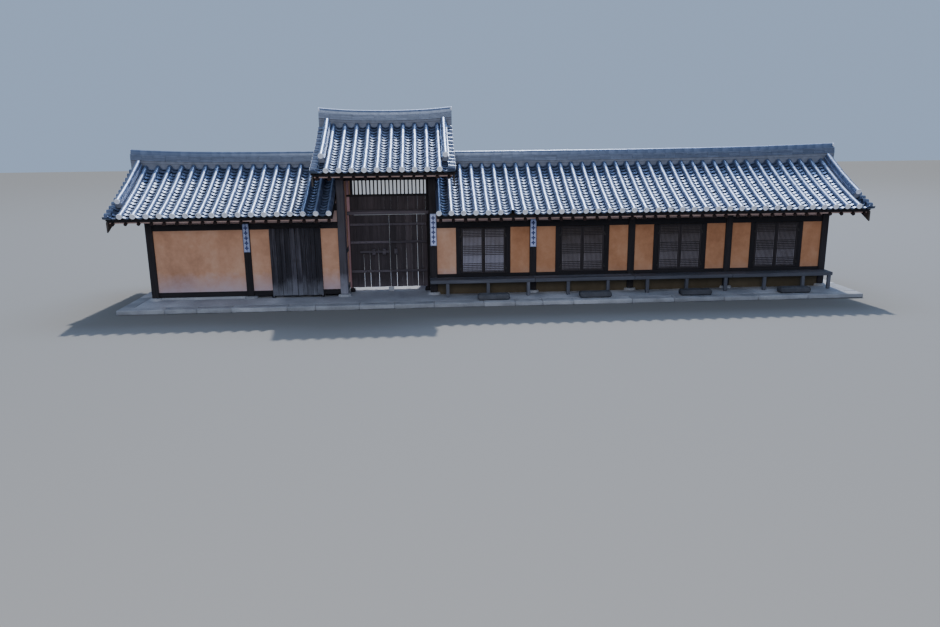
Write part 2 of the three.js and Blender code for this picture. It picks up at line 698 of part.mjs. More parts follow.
// The platform, with its plinth stones and the low footing walls under the timber walls.
function platform() {
  const sink = PLATFORM_TOP - PLINTH_SINK;
  const rear = about(HALF_DEPTH, FRAME_DEPTH);
  const front = about(-HALF_DEPTH, FRAME_DEPTH);
  const footing = (xs, ys, top = PLINTH_TOP) => box(xs, ys, [sink, top]);
  const plinths = (xs, radii) => xs.flatMap((x) => HANDS.map((side) =>
    drum(x, side * HALF_DEPTH, [sink, PLINTH_TOP], radii, 8)));
  const sills = right.posts.map((post, n) => {
    const from = n === 0 ? right.gateFace : right.posts[n - 1] + POST / 2;
    return footing([from + GAP, post - POST / 2 - GAP], front, RIGHT_SILL[0] - GAP);
  });
  return join([
    box([left.end - PLATFORM_REACH, right.end + PLATFORM_REACH],
      [-PLATFORM_HALF, PLATFORM_HALF], [0, PLATFORM_TOP]),
    ...plinths([...left.posts, ...right.posts], PLINTH_RADIUS),
    ...plinths([gateLeft, 0], GATE_PLINTH_RADIUS),
    footing([right.gateFace, right.end], rear),
    footing([left.end, left.gateFace], rear),
    footing([left.end, left.posts[0]], front),
    ...[left.end, gateLeft, 0, right.end].map((x) =>
      footing(about(x, FRAME_DEPTH), [-HALF_DEPTH, HALF_DEPTH])),
    ...sills,
    footing([right.gateFace + GAP, right.end - POST / 2 - GAP], [-floorHalf, floorHalf], FLOOR_BED),
    footing(about(gateMeeting, 2 * GATE_STOP[0]),
      [GATE_DOOR_FACE - GATE_STOP[1], GATE_DOOR_FACE + GATE_STOP[2]],
      GATE_LEAF_LEVELS[0] - PIVOT_FOOT),
  ]);
}

function porch() {
  const end = right.end + POST / 2;
  const wallEdge = -HALF_DEPTH - POST / 2 - GAP;
  const gateEdge = -HALF_DEPTH - GATE_POST / 2 - GAP;
  const besideGate = right.gateFace + GAP;
  const legs = [
    ...series(Math.floor((end - PORCH_LEG_START) / PORCH_LEG_PITCH) + 1,
      (n) => PORCH_LEG_START + n * PORCH_LEG_PITCH),
    end - PORCH_LEG,
  ];
  const board = [PORCH_TOP - PORCH_BOARD, PORCH_TOP];
  return join([
    box([PORCH_START, besideGate + MERGE], [-PORCH_FRONT, gateEdge], board),
    box([besideGate, end], [-PORCH_FRONT, wallEdge], board),
    box([PORCH_START, end], [-PORCH_FRONT, -PORCH_FRONT + PORCH_BEAM_WIDTH], PORCH_BEAM),
    box([besideGate, end], [wallEdge - PORCH_BEAM_WIDTH, wallEdge], PORCH_BEAM),
    ...legs.map((x) => box(about(x, PORCH_LEG), [-PORCH_FRONT + TAB_SKIN,
      -PORCH_FRONT + PORCH_LEG], [PLATFORM_TOP + GAP, PORCH_BEAM[0] + MERGE])),
    ...legs.map((x) => box(about(x, PORCH_JOIST), [-PORCH_FRONT + MERGE, wallEdge], PORCH_BEAM)),
  ]);
}

function stepStone(n) {
  const front = -STEP_FRONT;
  return box(about(bayCentre(n) + STEP_SHIFT, STEP_SIZE[0]), [front, front + STEP_SIZE[1]],
    [PLATFORM_TOP + GAP, PLATFORM_TOP + STEP_SIZE[2]]);
}

// Ground works and floors
add('stone_platform', platform(), STONE);
for (let bay = 0; bay < RIGHT_BAYS; bay += 1) add(`step_stone_${bay + 1}`, stepStone(bay), STONE);
add('right_floor', box([right.gateFace + GAP, right.end - POST / 2 - GAP], [-floorHalf, floorHalf],
  [FLOOR_BED + GAP, FLOOR_TOP]), EARTH);
add('porch', porch(), WEATHERED);

// Walls of the wings
add('right_front_frame', longWall(right, -1, RIGHT_SILL, latticeBay), TIMBER);
add('left_front_frame', longWall(left, -1, LEFT_SILL, plankBay), TIMBER);
add('right_rear_wall', longWall(right, 1, RIGHT_SILL, rearBay), PLASTERED);
add('left_rear_wall', longWall(left, 1, LEFT_SILL, rearBay), PLASTERED);
add('right_end_wall', endWall(right, RIGHT_SILL), PLASTERED);
add('left_end_wall', endWall(left, LEFT_SILL), PLASTERED);

// Plaster panels between the posts and the door frames
function panel(name, wing, ends, foot) {
  const [from, to] = sorted(...ends);
  add(name, box([from + GAP, to - GAP], about(-HALF_DEPTH, PLASTER),
    [foot + GAP, wing.header[0] - GAP]), PLASTERED);
}
right.posts.forEach((post, n) => {
  const from = n === 0 ? right.gateFace : right.posts[n - 1] + POST / 2;
  const frame = LATTICE_OPENING / 2 + LATTICE_JAMB;
  panel(`right_panel_${2 * n + 1}`, right, [from, bayCentre(n) - frame], RIGHT_SILL[1]);
  panel(`right_panel_${2 * n + 2}`, right, [bayCentre(n) + frame, post - POST / 2], RIGHT_SILL[1]);
});
const [firstPost, lastPost] = left.posts;
panel('left_panel_1', left, [PLANK_CENTRE + PLANK_WIDTH / 2, left.gateFace], LEFT_SILL[1]);
panel('left_panel_2', left, [firstPost + POST / 2, PLANK_CENTRE - PLANK_WIDTH / 2], LEFT_SILL[1]);
panel('left_panel_3', left, [lastPost + POST / 2, firstPost - POST / 2], LEFT_SILL[1]);

// Gate
add('gate_front_frame', gateFrame(-1), TIMBER);
add('gate_rear_frame', gateFrame(1), TIMBER);
add('gate_side_walls', gateSideWalls(), PLASTERED);
add('gate_door_frame', gateDoorFrame(), TIMBER);
add('gate_bars', gateBars(), TIMBER);
add('gate_leaf_left', gateLeaf(-1), WEATHERED);
add('gate_leaf_right', gateLeaf(1), WEATHERED);
add('gate_bar', gateBar(), WEATHERED);

// Doors of the wings
add('plank_leaf_left', plankLeaf(-1), WEATHERED);
add('plank_leaf_right', plankLeaf(1), WEATHERED);
for (let bay = 0; bay < RIGHT_BAYS; bay += 1) {
  add(`lattice_leaf_${bay + 1}_left`, latticeLeaf(bay, -1), PAPER);
  add(`lattice_leaf_${bay + 1}_right`, latticeLeaf(bay, 1), PAPER);
}

// Boards hung on the posts
function hungBoard(name, x, post, zs) {
  const back = -HALF_DEPTH - post / 2 - GAP;
  add(name, box(about(x, BOARD_SIZE[0]), [back - BOARD_SIZE[1], back], zs), BOARD);
}
hungBoard('post_board_1', GATE_BOARD_SHIFT, GATE_POST, GATE_BOARD_LEVELS);
hungBoard('post_board_2', right.posts[0], POST, WING_BOARD_LEVELS);
hungBoard('post_board_3', firstPost, POST, WING_BOARD_LEVELS);

// Roof timbers and roofs
function roofTimbers(wing) {
  const atGate = wing.gateFace - wing.out * (GATE_POST / 2 - GATE_PLASTER / 2 - GAP);
  return join([
    ...wing.posts.slice(0, -1).flatMap((x) => [tieBeam(x, wing.lift), kingPost(x, wing.lift)]),
    ridgePurlin([atGate, wing.timberEnd], wing.lift),
  ]);
}
for (const [name, wing] of [['right', right], ['left', left]]) {
  const start = wing.gateFace + wing.out * GATE_SIDE_GAP;
  add(`${name}_roof_timbers`, roofTimbers(wing), TIMBER);
  add(`${name}_rafters`, rafters([start, wing.timberEnd], wing.lift), TIMBER);
  add(`${name}_bargeboards`, bargeboards(wing.roofEnd, wing.out, wing.lift), WEATHERED);
}
// The right wing's tiles run on a little in front of the gate's post, and behind it.
add('right_roof_tiles', wingTiles(right, 'right', TILE_LAP), TILED);
add('left_roof_tiles', wingTiles(left, 'left', left.gateFace - GATE_SIDE_GAP), TILED);
add('gate_rafters', rafters(gateTimber, GATE_LIFT), TIMBER);
add('gate_roof_tiles', gateTiles(), TILED);
add('gate_left_bargeboards', bargeboards(gateEnds[0], -1, GATE_LIFT), WEATHERED);
add('gate_right_bargeboards', bargeboards(gateEnds[1], 1, GATE_LIFT), WEATHERED);

const range = new THREE.Group();
parts.position.x = -mid(left.roofEnd, right.roofEnd);
range.add(parts);
range.updateMatrixWorld(true);
export default range;
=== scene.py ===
# A tiled timber range round a courtyard: a raised gate with a low wing on either side.
# Lengths are metres in the part's own frame: X runs along the front from left to right, Y from
# the courtyard to the street, and Z up from the ground.
import math
import zlib

import bpy
import numpy as np
from mathutils import Matrix, Vector


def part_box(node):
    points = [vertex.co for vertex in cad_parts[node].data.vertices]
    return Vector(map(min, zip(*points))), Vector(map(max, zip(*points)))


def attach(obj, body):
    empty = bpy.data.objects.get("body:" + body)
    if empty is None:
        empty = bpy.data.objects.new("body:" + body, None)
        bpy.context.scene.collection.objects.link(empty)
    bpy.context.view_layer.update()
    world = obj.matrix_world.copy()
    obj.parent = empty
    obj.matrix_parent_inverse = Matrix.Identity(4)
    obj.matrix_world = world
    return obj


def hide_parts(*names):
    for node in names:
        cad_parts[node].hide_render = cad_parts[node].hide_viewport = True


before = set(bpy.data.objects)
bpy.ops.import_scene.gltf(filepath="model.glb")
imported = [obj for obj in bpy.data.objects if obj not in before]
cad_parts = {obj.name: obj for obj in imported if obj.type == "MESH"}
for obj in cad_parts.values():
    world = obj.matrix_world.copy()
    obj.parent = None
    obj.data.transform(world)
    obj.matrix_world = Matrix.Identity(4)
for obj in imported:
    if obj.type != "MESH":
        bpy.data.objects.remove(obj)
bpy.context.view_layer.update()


# Dimensions that the frame's solids share
RIGHT_BAY = 2.7
RIGHT_BAYS = 4
LEFT_BAY = 2.5
LEFT_BAYS = 2
HALF_DEPTH = 1.2  # from the ridge line to the post lines
POST = 0.185
GATE_POST = 0.2
GATE_LIFT = 1.1
LEFT_LIFT = 0.05
GABLE_REACH = 0.7
PLATFORM_TOP = 0.12
PLINTH_TOP = 0.18
FOOTING_FOOT = 0.1
LEFT_SILL = (0.184, 0.32)
RIGHT_SILL = (0.52, 0.665)
MID_RAIL = (1.21, 1.33)
HEADER = (1.915, 2.08)
POST_TOP = 2.14
TIE_TOP = 2.36
GATE_BEAM = (3.2, 3.34)
FRAME_DEPTH = 0.13
WALL_FACE = -HALF_DEPTH - FRAME_DEPTH / 2
PLASTER = 0.09
GATE_PLASTER = 0.1
TIE_WIDTH = 0.19
TIE_REACH = 1.4125  # from the ridge line to the head of a tie beam
PURLIN = 0.18
RIDGE_PURLIN_FOOT = 2.92
EAVE_LOG = (0.105, TIE_TOP + 0.115)  # radius, and height of the axis
RIDGE_LOG = (0.1, RIDGE_PURLIN_FOOT + 0.1)
PURLIN_INSET = 0.071  # from a gable's outer face to the purlins
DECK_INSET = 0.0703  # from a gable's outer face to the rafters' deck
GATE_CLEARANCE = 0.003  # from the gate's posts to a wing's roof
LATTICE_OPENING = 1.2
LATTICE_JAMB = 0.135
PLANK_JAMB = 0.11
PLANK_PIVOT = 0.022  # in from the leaf's edge
GAP = 0.0003  # between pieces that touch
SEAM = 0.002  # between boards laid edge to edge

# Roof section, at a distance d from the ridge line
SLOPE = 0.45
RAFTER_END = 2.1925
RAFTER_END_Z = 2.2
RAFTER_RADIUS = 0.05
RAFTER_PITCH = 0.31
RAFTER_INSET = 0.1  # from the deck's ends to the first and the last rafter
RAFTER_HEAD = 0.05
DECK_FOOT = 0.03
DECK_TOP = 0.085
DECK_END = 2.2225
BOARDS_END = 2.18  # of the boards over the rafters, and of the foot of the earth on them
BOARDS_THICK = 0.018
BED_END = 2.19  # of the earth's top
EAVE = 2.2925
TROUGH_Z = 2.34
EAVE_SLOPE = 0.4
RIDGE_SLOPE = 0.62
RIDGE_HALF = 0.15
RIDGE_RISE = 0.1
VERGE_INSET = 0.25

# Tiles
TILE_PITCH = 0.3125  # from one row of round tiles to the next
ROW_INSET = {1: 0.053, -1: 0.08}  # from the gate post's outer face to a wing's first row
ROW_FROM_GABLE = VERGE_INSET + 0.16  # from a gable's outer face to the last row
TROUGH_STEP = 0.142  # what shows of each trough tile
COVER_STEP = 0.27  # what shows of each round tile
GABLE_STEP = 0.2  # from one crosswise tile to the next, up a verge
GABLE_FALL = 0.12  # how steeply the crosswise tiles fall outwards
GABLE_COVER = 0.05  # radius of the round ones
GABLE_PLUG = 0.046  # and of their lime plugs
GABLE_SINK = 0.04  # how much lower they sit than the slope's own
TROUGH_SAG = 0.075
TROUGH_HALF = 0.125
TILE_THICK = 0.02
TILE_LIP = 0.042
EAVE_LIP = -0.014  # where the lowest trough tiles end, measured up the slope from the eave
TROUGH_LAP = 1.35  # a tile's whole length, as a share of what shows
COVER_LAP = 1.12
COVER_RADIUS = 0.068
COVER_CENTRE = 0.088
COVER_FOOT = 0.03
COVER_THICK = 0.012
FLAT_PIECE = 0.31
COURSE = 0.031  # the height of a course of flat pieces in a ridge
RIDGE_COURSES = 5
VERGE_COURSES = 2
RIDGE_BED = 0.075
RIDGE_FOOT = 0.04
VERGE_FOOT = 0.06
VERGE_WIDTH = 0.19
VERGE_RUN = (0.5, 0.12)  # from the eave to a verge's foot, and from its head to the ridge
MISSING_PLUG = 2.04  # from the gate's right posts to the row whose plug has fallen out

CREASE = math.radians(38)  # edges that turn more than this are sharp


def about(centre, width):
    return (centre - width / 2, centre + width / 2)


def within(span, inset):
    """A span drawn in by the same length at both ends."""
    return (span[0] + inset, span[1] - inset)


def pairs(edges):
    return zip(edges[:-1], edges[1:])


def circle(sides):
    """The cosines and sines of equal turns."""
    turns = 2 * math.pi * np.arange(sides) / sides
    return np.cos(turns), np.sin(turns)


class Wing:
    """A wing's places. out is 1 on the right and -1 on the left."""

    def __init__(self, name, out, board, bay, bays, lift, sill):
        low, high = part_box(board)
        first = ((low + high) / 2).x
        self.name = name
        self.out = out
        self.lift = lift
        self.sill = sill
        self.header = tuple(z + lift for z in HEADER)
        self.posts = [first + out * n * bay for n in range(bays)]
        self.gate_post = first - out * bay
        self.face = self.gate_post + out * GATE_POST / 2
        self.end = self.posts[-1]
        self.roof_end = self.end + out * GABLE_REACH

    def beside(self, n):
        """The clear span between post n and what stands before it, from left to right."""
        before = self.posts[n - 1] + self.out * POST / 2 if n else self.face
        return within(sorted((before, self.posts[n] - self.out * POST / 2)), GAP)


right = Wing("right", 1, "post_board_2", RIGHT_BAY, RIGHT_BAYS, 0.0, RIGHT_SILL)
left = Wing("left", -1, "post_board_3", LEFT_BAY, LEFT_BAYS, LEFT_LIFT, LEFT_SILL)
gate_left, gate_right = left.gate_post, right.gate_post
gate_centre = (gate_left + gate_right) / 2
gate_inside = within((gate_left, gate_right), GATE_POST / 2 + GAP)
gate_ends = tuple(corner.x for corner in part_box("gate_roof_tiles"))


def bay_centre(n):
    return gate_right + (n + 0.5) * RIGHT_BAY


# Materials
def colour(code):
    """A linear colour from six hex digits."""
    parts = [int(code[n : n + 2], 16) / 255 for n in (0, 2, 4)]
    linear = [c / 12.92 if c <= 0.04045 else ((c + 0.055) / 1.055) ** 2.4 for c in parts]
    return (*linear, 1.0)


class Nodes:
    """One material, built with short words for its nodes."""

    def __init__(self, name, roughness, specular=0.35):
        self.material = bpy.data.materials.new(name)
        self.material.use_nodes = True
        self.tree = self.material.node_tree
        self.tree.nodes.clear()
        settings = {"Roughness": roughness, "Specular IOR Level": specular}
        self.shader = self.node("BsdfPrincipled", settings)
        self.node("OutputMaterial", {"Surface": self.shader.outputs[0]})

    def node(self, kind, inputs=None, **settings):
        made = self.tree.nodes.new("ShaderNode" + kind)
        for key, value in settings.items():
            setattr(made, key, value)
        for key, value in (inputs or {}).items():
            if isinstance(value, bpy.types.NodeSocket):
                self.tree.links.new(value, made.inputs[key])
            else:
                made.inputs[key].default_value = value
        return made

    def drive(self, name, value):
        self.tree.links.new(value, self.shader.inputs[name])

    def grain(self):
        return self.node("Attribute", attribute_name="grain").outputs["Vector"]

    def tone(self):
        return self.node("Attribute", attribute_name="tone").outputs["Fac"]

    def place(self):
        return self.node("TexCoord").outputs["Object"]

    def axis(self, vector, letter):
        return self.node("SeparateXYZ", {0: vector}).outputs[letter]

    def scaled(self, vector, factors):
        return self.node("VectorMath", {0: vector, 1: factors}, operation="MULTIPLY").outputs[0]

    def noise(self, vector, scale, detail, roughness):
        inputs = {"Vector": vector, "Scale": scale, "Detail": detail, "Roughness": roughness}
        return self.node("TexNoise", inputs).outputs[0]

    def sums(self, *terms):
        """The sum of (socket, factor) pairs."""
        total = 0.0
        for socket, factor in terms:
            inputs = {0: socket, 1: factor, 2: total}
            total = self.node("Math", inputs, operation="MULTIPLY_ADD").outputs[0]
        return total

    def spread(self, value, low, high, to_low=0.0, to_high=1.0):
        """value carried from one range to another, and held at its ends."""
        ranges = {"From Min": low, "From Max": high, "To Min": to_low, "To Max": to_high}
        return self.node("MapRange", {"Value": value, **ranges}).outputs[0]

    def ramp(self, value, low, high, shades):
        """A colour for value, from the first shade at low to the last at high."""
        made = self.node("ValToRGB", {0: self.spread(value, low, high)})
        elements = made.color_ramp.elements
        while len(elements) < len(shades):
            elements.new(0.5)
        for n, code in enumerate(shades):
            elements[n].position = n / (len(shades) - 1)
            elements[n].color = colour(code)
        return made.outputs[0]

    def stained(self, painted, share, code):
        """painted, covered with the colour code by a share."""
        made = self.node("Mix", {0: share, 6: painted, 7: colour(code)}, data_type="RGBA")
        return made.outputs[2]

    def bump(self, height, distance, strength=0.6):
        inputs = {"Height": height, "Distance": distance, "Strength": strength}
        self.drive("Normal", self.node("Bump", inputs).outputs[0])


def wood(name, shades, foot=None, foot_height=0.75, roughness=0.8, streak=1.0):
    """Timber whose grain runs along each member. Rain leaves the foot of a door paler."""
    n = Nodes(name, roughness)
    grain = n.grain()
    fibres = n.noise(n.scaled(grain, (1.6, 70.0, 70.0)), 1.0, 6.0, 0.62)
    bands = n.noise(n.scaled(grain, (0.5, 11.0, 11.0)), 1.0, 3.0, 0.5)
    worn = n.noise(grain, 2.3, 5.0, 0.6)
    value = n.sums((fibres, 0.55 * streak), (bands, 0.5), (n.tone(), 0.5), (worn, 0.25))
    half = (0.55 * streak + 0.5 + 0.5 + 0.25) / 2
    painted = n.ramp(value, half - 0.42, half + 0.42, shades)
    if foot:
        rain = n.spread(n.axis(n.place(), "Z"), PLATFORM_TOP, foot_height, 1.0, 0.0)
        splash = n.sums((rain, 1.0), (worn, 0.9), (fibres, 0.5))
        painted = n.stained(painted, n.spread(splash, 1.05, 1.75, 0.0, 0.75), foot)
    n.drive("Base Color", painted)
    n.drive("Roughness", n.spread(fibres, 0.3, 0.7, roughness + 0.1, roughness - 0.08))
    cracks = n.spread(fibres, 0.34, 0.5)
    n.bump(n.sums((cracks, 0.7), (fibres, 0.5), (worn, 0.4)), 0.004)
    return n.material


def plaster(name, shades, foot, stain):
    """Trowelled earth: cloudy, finely gritty, and stained along its foot."""
    n = Nodes(name, 0.92, 0.2)
    place = n.place()
    clouds = n.noise(n.scaled(place, (1.0, 1.0, 0.7)), 1.3, 5.0, 0.6)
    patches = n.noise(place, 6.0, 4.0, 0.6)
    grit = n.noise(place, 160.0, 3.0, 0.6)
    painted = n.ramp(n.sums((clouds, 0.6), (patches, 0.3), (grit, 0.1)), 0.3, 0.7, shades)
    rain = n.spread(n.axis(place, "Z"), 0.25, 1.0, 1.0, 0.0)
    damp = n.sums((rain, 1.0), (patches, 0.5))
    n.drive("Base Color", n.stained(painted, n.spread(damp, 0.45, 1.25, 0.0, stain), foot))
    n.bump(n.sums((grit, 0.35), (patches, 0.6), (clouds, 0.5)), 0.004, 0.5)
    return n.material


def stone(name, shades, roughness=0.82, scale=1.0):
    """Dressed granite, speckled, with dirt in its hollows."""
    n = Nodes(name, roughness, 0.3)
    place = n.place()
    broad = n.noise(place, 2.2 * scale, 5.0, 0.6)
    pits = n.noise(place, 38.0 * scale, 4.0, 0.65)
    specks = n.noise(place, 260.0, 2.0, 0.5)
    value = n.sums((broad, 0.6), (pits, 0.35), (specks, 0.25), (n.tone(), 0.35))
    n.drive("Base Color", n.ramp(value, 0.5, 1.05, shades))
    n.bump(n.sums((pits, 0.7), (broad, 0.8), (specks, 0.15)), 0.008)
    return n.material


def fired_tile(name, shades, painted_shade, edge_shade, roughness):
    """Smoked clay with a soft sheen. Painted shade darkens each tile where the next tile laps over it, and
    on its edges and underside.
    """
    n = Nodes(name, roughness, 1.0)
    n.shader.inputs["IOR"].default_value = 1.9
    n.shader.inputs["Specular Tint"].default_value = (0.58, 0.72, 1.0, 1.0)
    grain = n.grain()
    clouds = n.noise(n.place(), 7.0, 5.0, 0.62)
    chalk = n.noise(n.place(), 42.0, 4.0, 0.65)
    painted = n.ramp(n.sums((clouds, 0.45), (chalk, 0.35), (n.tone(), 0.6)), 0.45, 0.95, shades)
    # Painted shade: darker toward the neck, where the next tile's lip shades it.
    neck = n.spread(n.axis(grain, "X"), 0.25, 0.75)
    lap_shade = n.sums((neck, 0.9), (clouds, 0.3), (chalk, 0.2))
    painted = n.stained(painted, n.spread(lap_shade, 0.5, 1.1), painted_shade)
    # Painted shade on the edges and the underside.
    edge = n.spread(n.axis(grain, "Z"), 0.05, 0.4, 0.0, edge_shade)
    n.drive("Base Color", n.stained(painted, edge, painted_shade))
    n.drive("Roughness", n.spread(chalk, 0.3, 0.7, roughness - 0.06, roughness + 0.14))
    n.bump(n.sums((chalk, 0.5), (clouds, 0.5)), 0.002, 0.4)
    return n.material


def door_paper():
    """Old paper behind the lattice, greyer above and paler below."""
    n = Nodes("door_paper", 0.9, 0.2)
    place = n.place()
    clouds = n.noise(place, 3.0, 5.0, 0.6)
    below = n.spread(n.axis(place, "Z"), 0.9, 1.75, 1.0, 0.0)
    value = n.sums((below, 0.5), (clouds, 0.5), (n.tone(), 0.9))
    n.drive("Base Color", n.ramp(value, 0.2, 1.6, ("443a33", "8a8690", "bfc1da")))
    n.bump(clouds, 0.0008, 0.5)
    return n.material


def plain_matter(name, shades, roughness, scale, bump, specular=0.3):
    n = Nodes(name, roughness, specular)
    place = n.place()
    clouds = n.noise(place, scale, 5.0, 0.6)
    fine = n.noise(place, scale * 14, 3.0, 0.6)
    n.drive("Base Color", n.ramp(n.sums((clouds, 0.65), (fine, 0.35)), 0.3, 0.7, shades))
    n.bump(n.sums((fine, 0.6), (clouds, 0.4)), bump, 0.5)
    return n.material


LOOKS = {
    "timber": wood("old_timber", ("151316", "252226", "3a3438")),
    "gate_post": wood("gate_posts", ("37353a", "54515a", "7a7780"), "a3a5b4", 1.3),
    "beam": wood("dark_beam", ("111013", "1c1a1f", "2d292d")),
    "door": wood("gate_boards", ("231f24", "383237", "584f54"), "5d565f"),
    "door_rail": wood("gate_battens", ("363238", "524c54", "716973")),
    "plank": wood("store_doors", ("15141a", "28272f", "65636f"), "858996", 0.95, streak=1.6),
    "porch": wood("porch_boards", ("35363d", "53555f", "7b7d88")),
    "rafter": wood("rafters", ("150d0d", "261819", "3d2924")),
    # Red-brown wood painted much paler than the other timber, as painted sunlight. It lines the passage
    # and dresses the left jamb and the left slat end.
    "sunlit_reddish": wood("passage_boards", ("8a6a70", "b58e96", "d2adb2")),
    "gable": wood("bargeboards", ("2f2b2b", "48423f", "665e58")),
    "lattice": wood("lattice_bars", ("1b181c", "2c272b", "413a3d"), roughness=0.7),
    "stop": wood("frame_rails", ("121115", "1f1c21", "322d33")),
    "plaster": plaster("ochre_plaster", ("9c6a4c", "bb8664", "cd9d7d"), "a39a9c", 0.4),
    "pale_plaster": plaster("pale_plaster", ("a97c62", "ca9a7e", "dab198"), "b7afc0", 0.75),
    "infill": plaster("eave_plaster", ("967a76", "b89c96", "d2b9b4"), "b8a8b2", 0.0),
    "earth_wall": plaster("footing_plaster", ("463e2f", "5a503f", "6f644f"), "4f4940", 0.5),
    "stone": stone("granite", ("787b82", "9c9fa7", "bec1c9")),
    "step": stone("step_granite", ("34353b", "505259", "787a83")),
    "paving": stone("platform_top", ("80838c", "a3a6b0", "c4c7d0"), 0.85, 0.6),
    # In each tile look, the dark colour after the shades is painted shade for the laps and edges, and the
    # number after it sets how much of it lies on the edges.
    "tile": fired_tile("trough_tile", ("383e4f", "555c72", "7a8298"), "0d1222", 1.0, 0.42),
    "cover": fired_tile("round_tile", ("313749", "4a5166", "687087"), "3a4259", 0.3, 0.36),
    "lime": plain_matter("lime_mortar", ("dce2f4", "fafbff"), 0.9, 7.0, 0.004),
    # Roof earth, darker than its own colour: painted shade where it shows in the notches under the tiles.
    "bed": plain_matter("roof_earth", ("231e1d", "38302c"), 0.95, 5.0, 0.006),
    "joint": plain_matter("ridge_mortar", ("6a6f7c", "8f94a3"), 0.9, 7.0, 0.004),
    "paper": door_paper(),
    "oiled_paper": plain_matter("floor_paper", ("9a7a52", "b8986c"), 0.45, 1.6, 0.0006, 0.5),
    "iron": plain_matter("iron", ("171516", "2b2728"), 0.55, 30.0, 0.001, 0.5),
    # The darkest shade of the board paint is painted shade, reached by boards with a low tone.
    "board_paint": wood("board_paint", ("7a86a0", "c6d2ff", "e2eaff"), roughness=0.7, streak=0.7),
    "board_ink": plain_matter("board_ink", ("0b1350", "17236e"), 0.7, 30.0, 0.0005),
}


# Meshes
def loft_faces(stations, sides):
    """The sides of a tube of rings, and the cap at each end."""
    at = np.arange(stations * sides).reshape(stations, sides)
    turned = np.roll(at, -1, axis=1)
    quads = np.stack([at[:-1], turned[:-1], turned[1:], at[1:]], -1).reshape(-1, 4)
    return [quads, np.stack([at[0][::-1], at[-1]])]


def shell_faces(rows, columns):
    """The faces of a thin closed shell: an outer and an inner sheet, and the edges between."""
    sheets = np.arange(2 * rows * columns).reshape(2, rows, columns)

    def grid(at):
        corners = [at[:-1, :-1], at[:-1, 1:], at[1:, 1:], at[1:, :-1]]
        return np.stack(corners, -1).reshape(-1, 4)

    def around(at):
        return np.concatenate([at[0], at[1:, -1], at[-1, -2::-1], at[-2:0:-1, 0]])

    rim, under = (around(sheet) for sheet in sheets)
    edges = np.stack([rim, under, np.roll(under, -1), np.roll(rim, -1)], -1)
    return [np.concatenate([grid(sheets[0]), grid(sheets[1])[:, ::-1], edges])]


def volume(points, faces):
    total = 0.0
    for polygons in faces:
        for n in range(1, polygons.shape[1] - 1):
            a, b, c = (points[polygons[:, k]] for k in (0, n, n + 1))
            total += np.einsum("ij,ij->", a, np.cross(b, c))
    return total


def rectangle(width, foot, top, ease=0.006):
    """The outline of a bar, with its edges eased."""
    half = width / 2
    return [(half, foot + ease), (half, top - ease), (half - ease, top), (-half + ease, top),
            (-half, top - ease), (-half, foot + ease), (-half + ease, foot), (half - ease, foot)]


def add_to_scene(name, data):
    made = bpy.data.objects.new(name, data)
    bpy.context.scene.collection.objects.link(made)
    return made


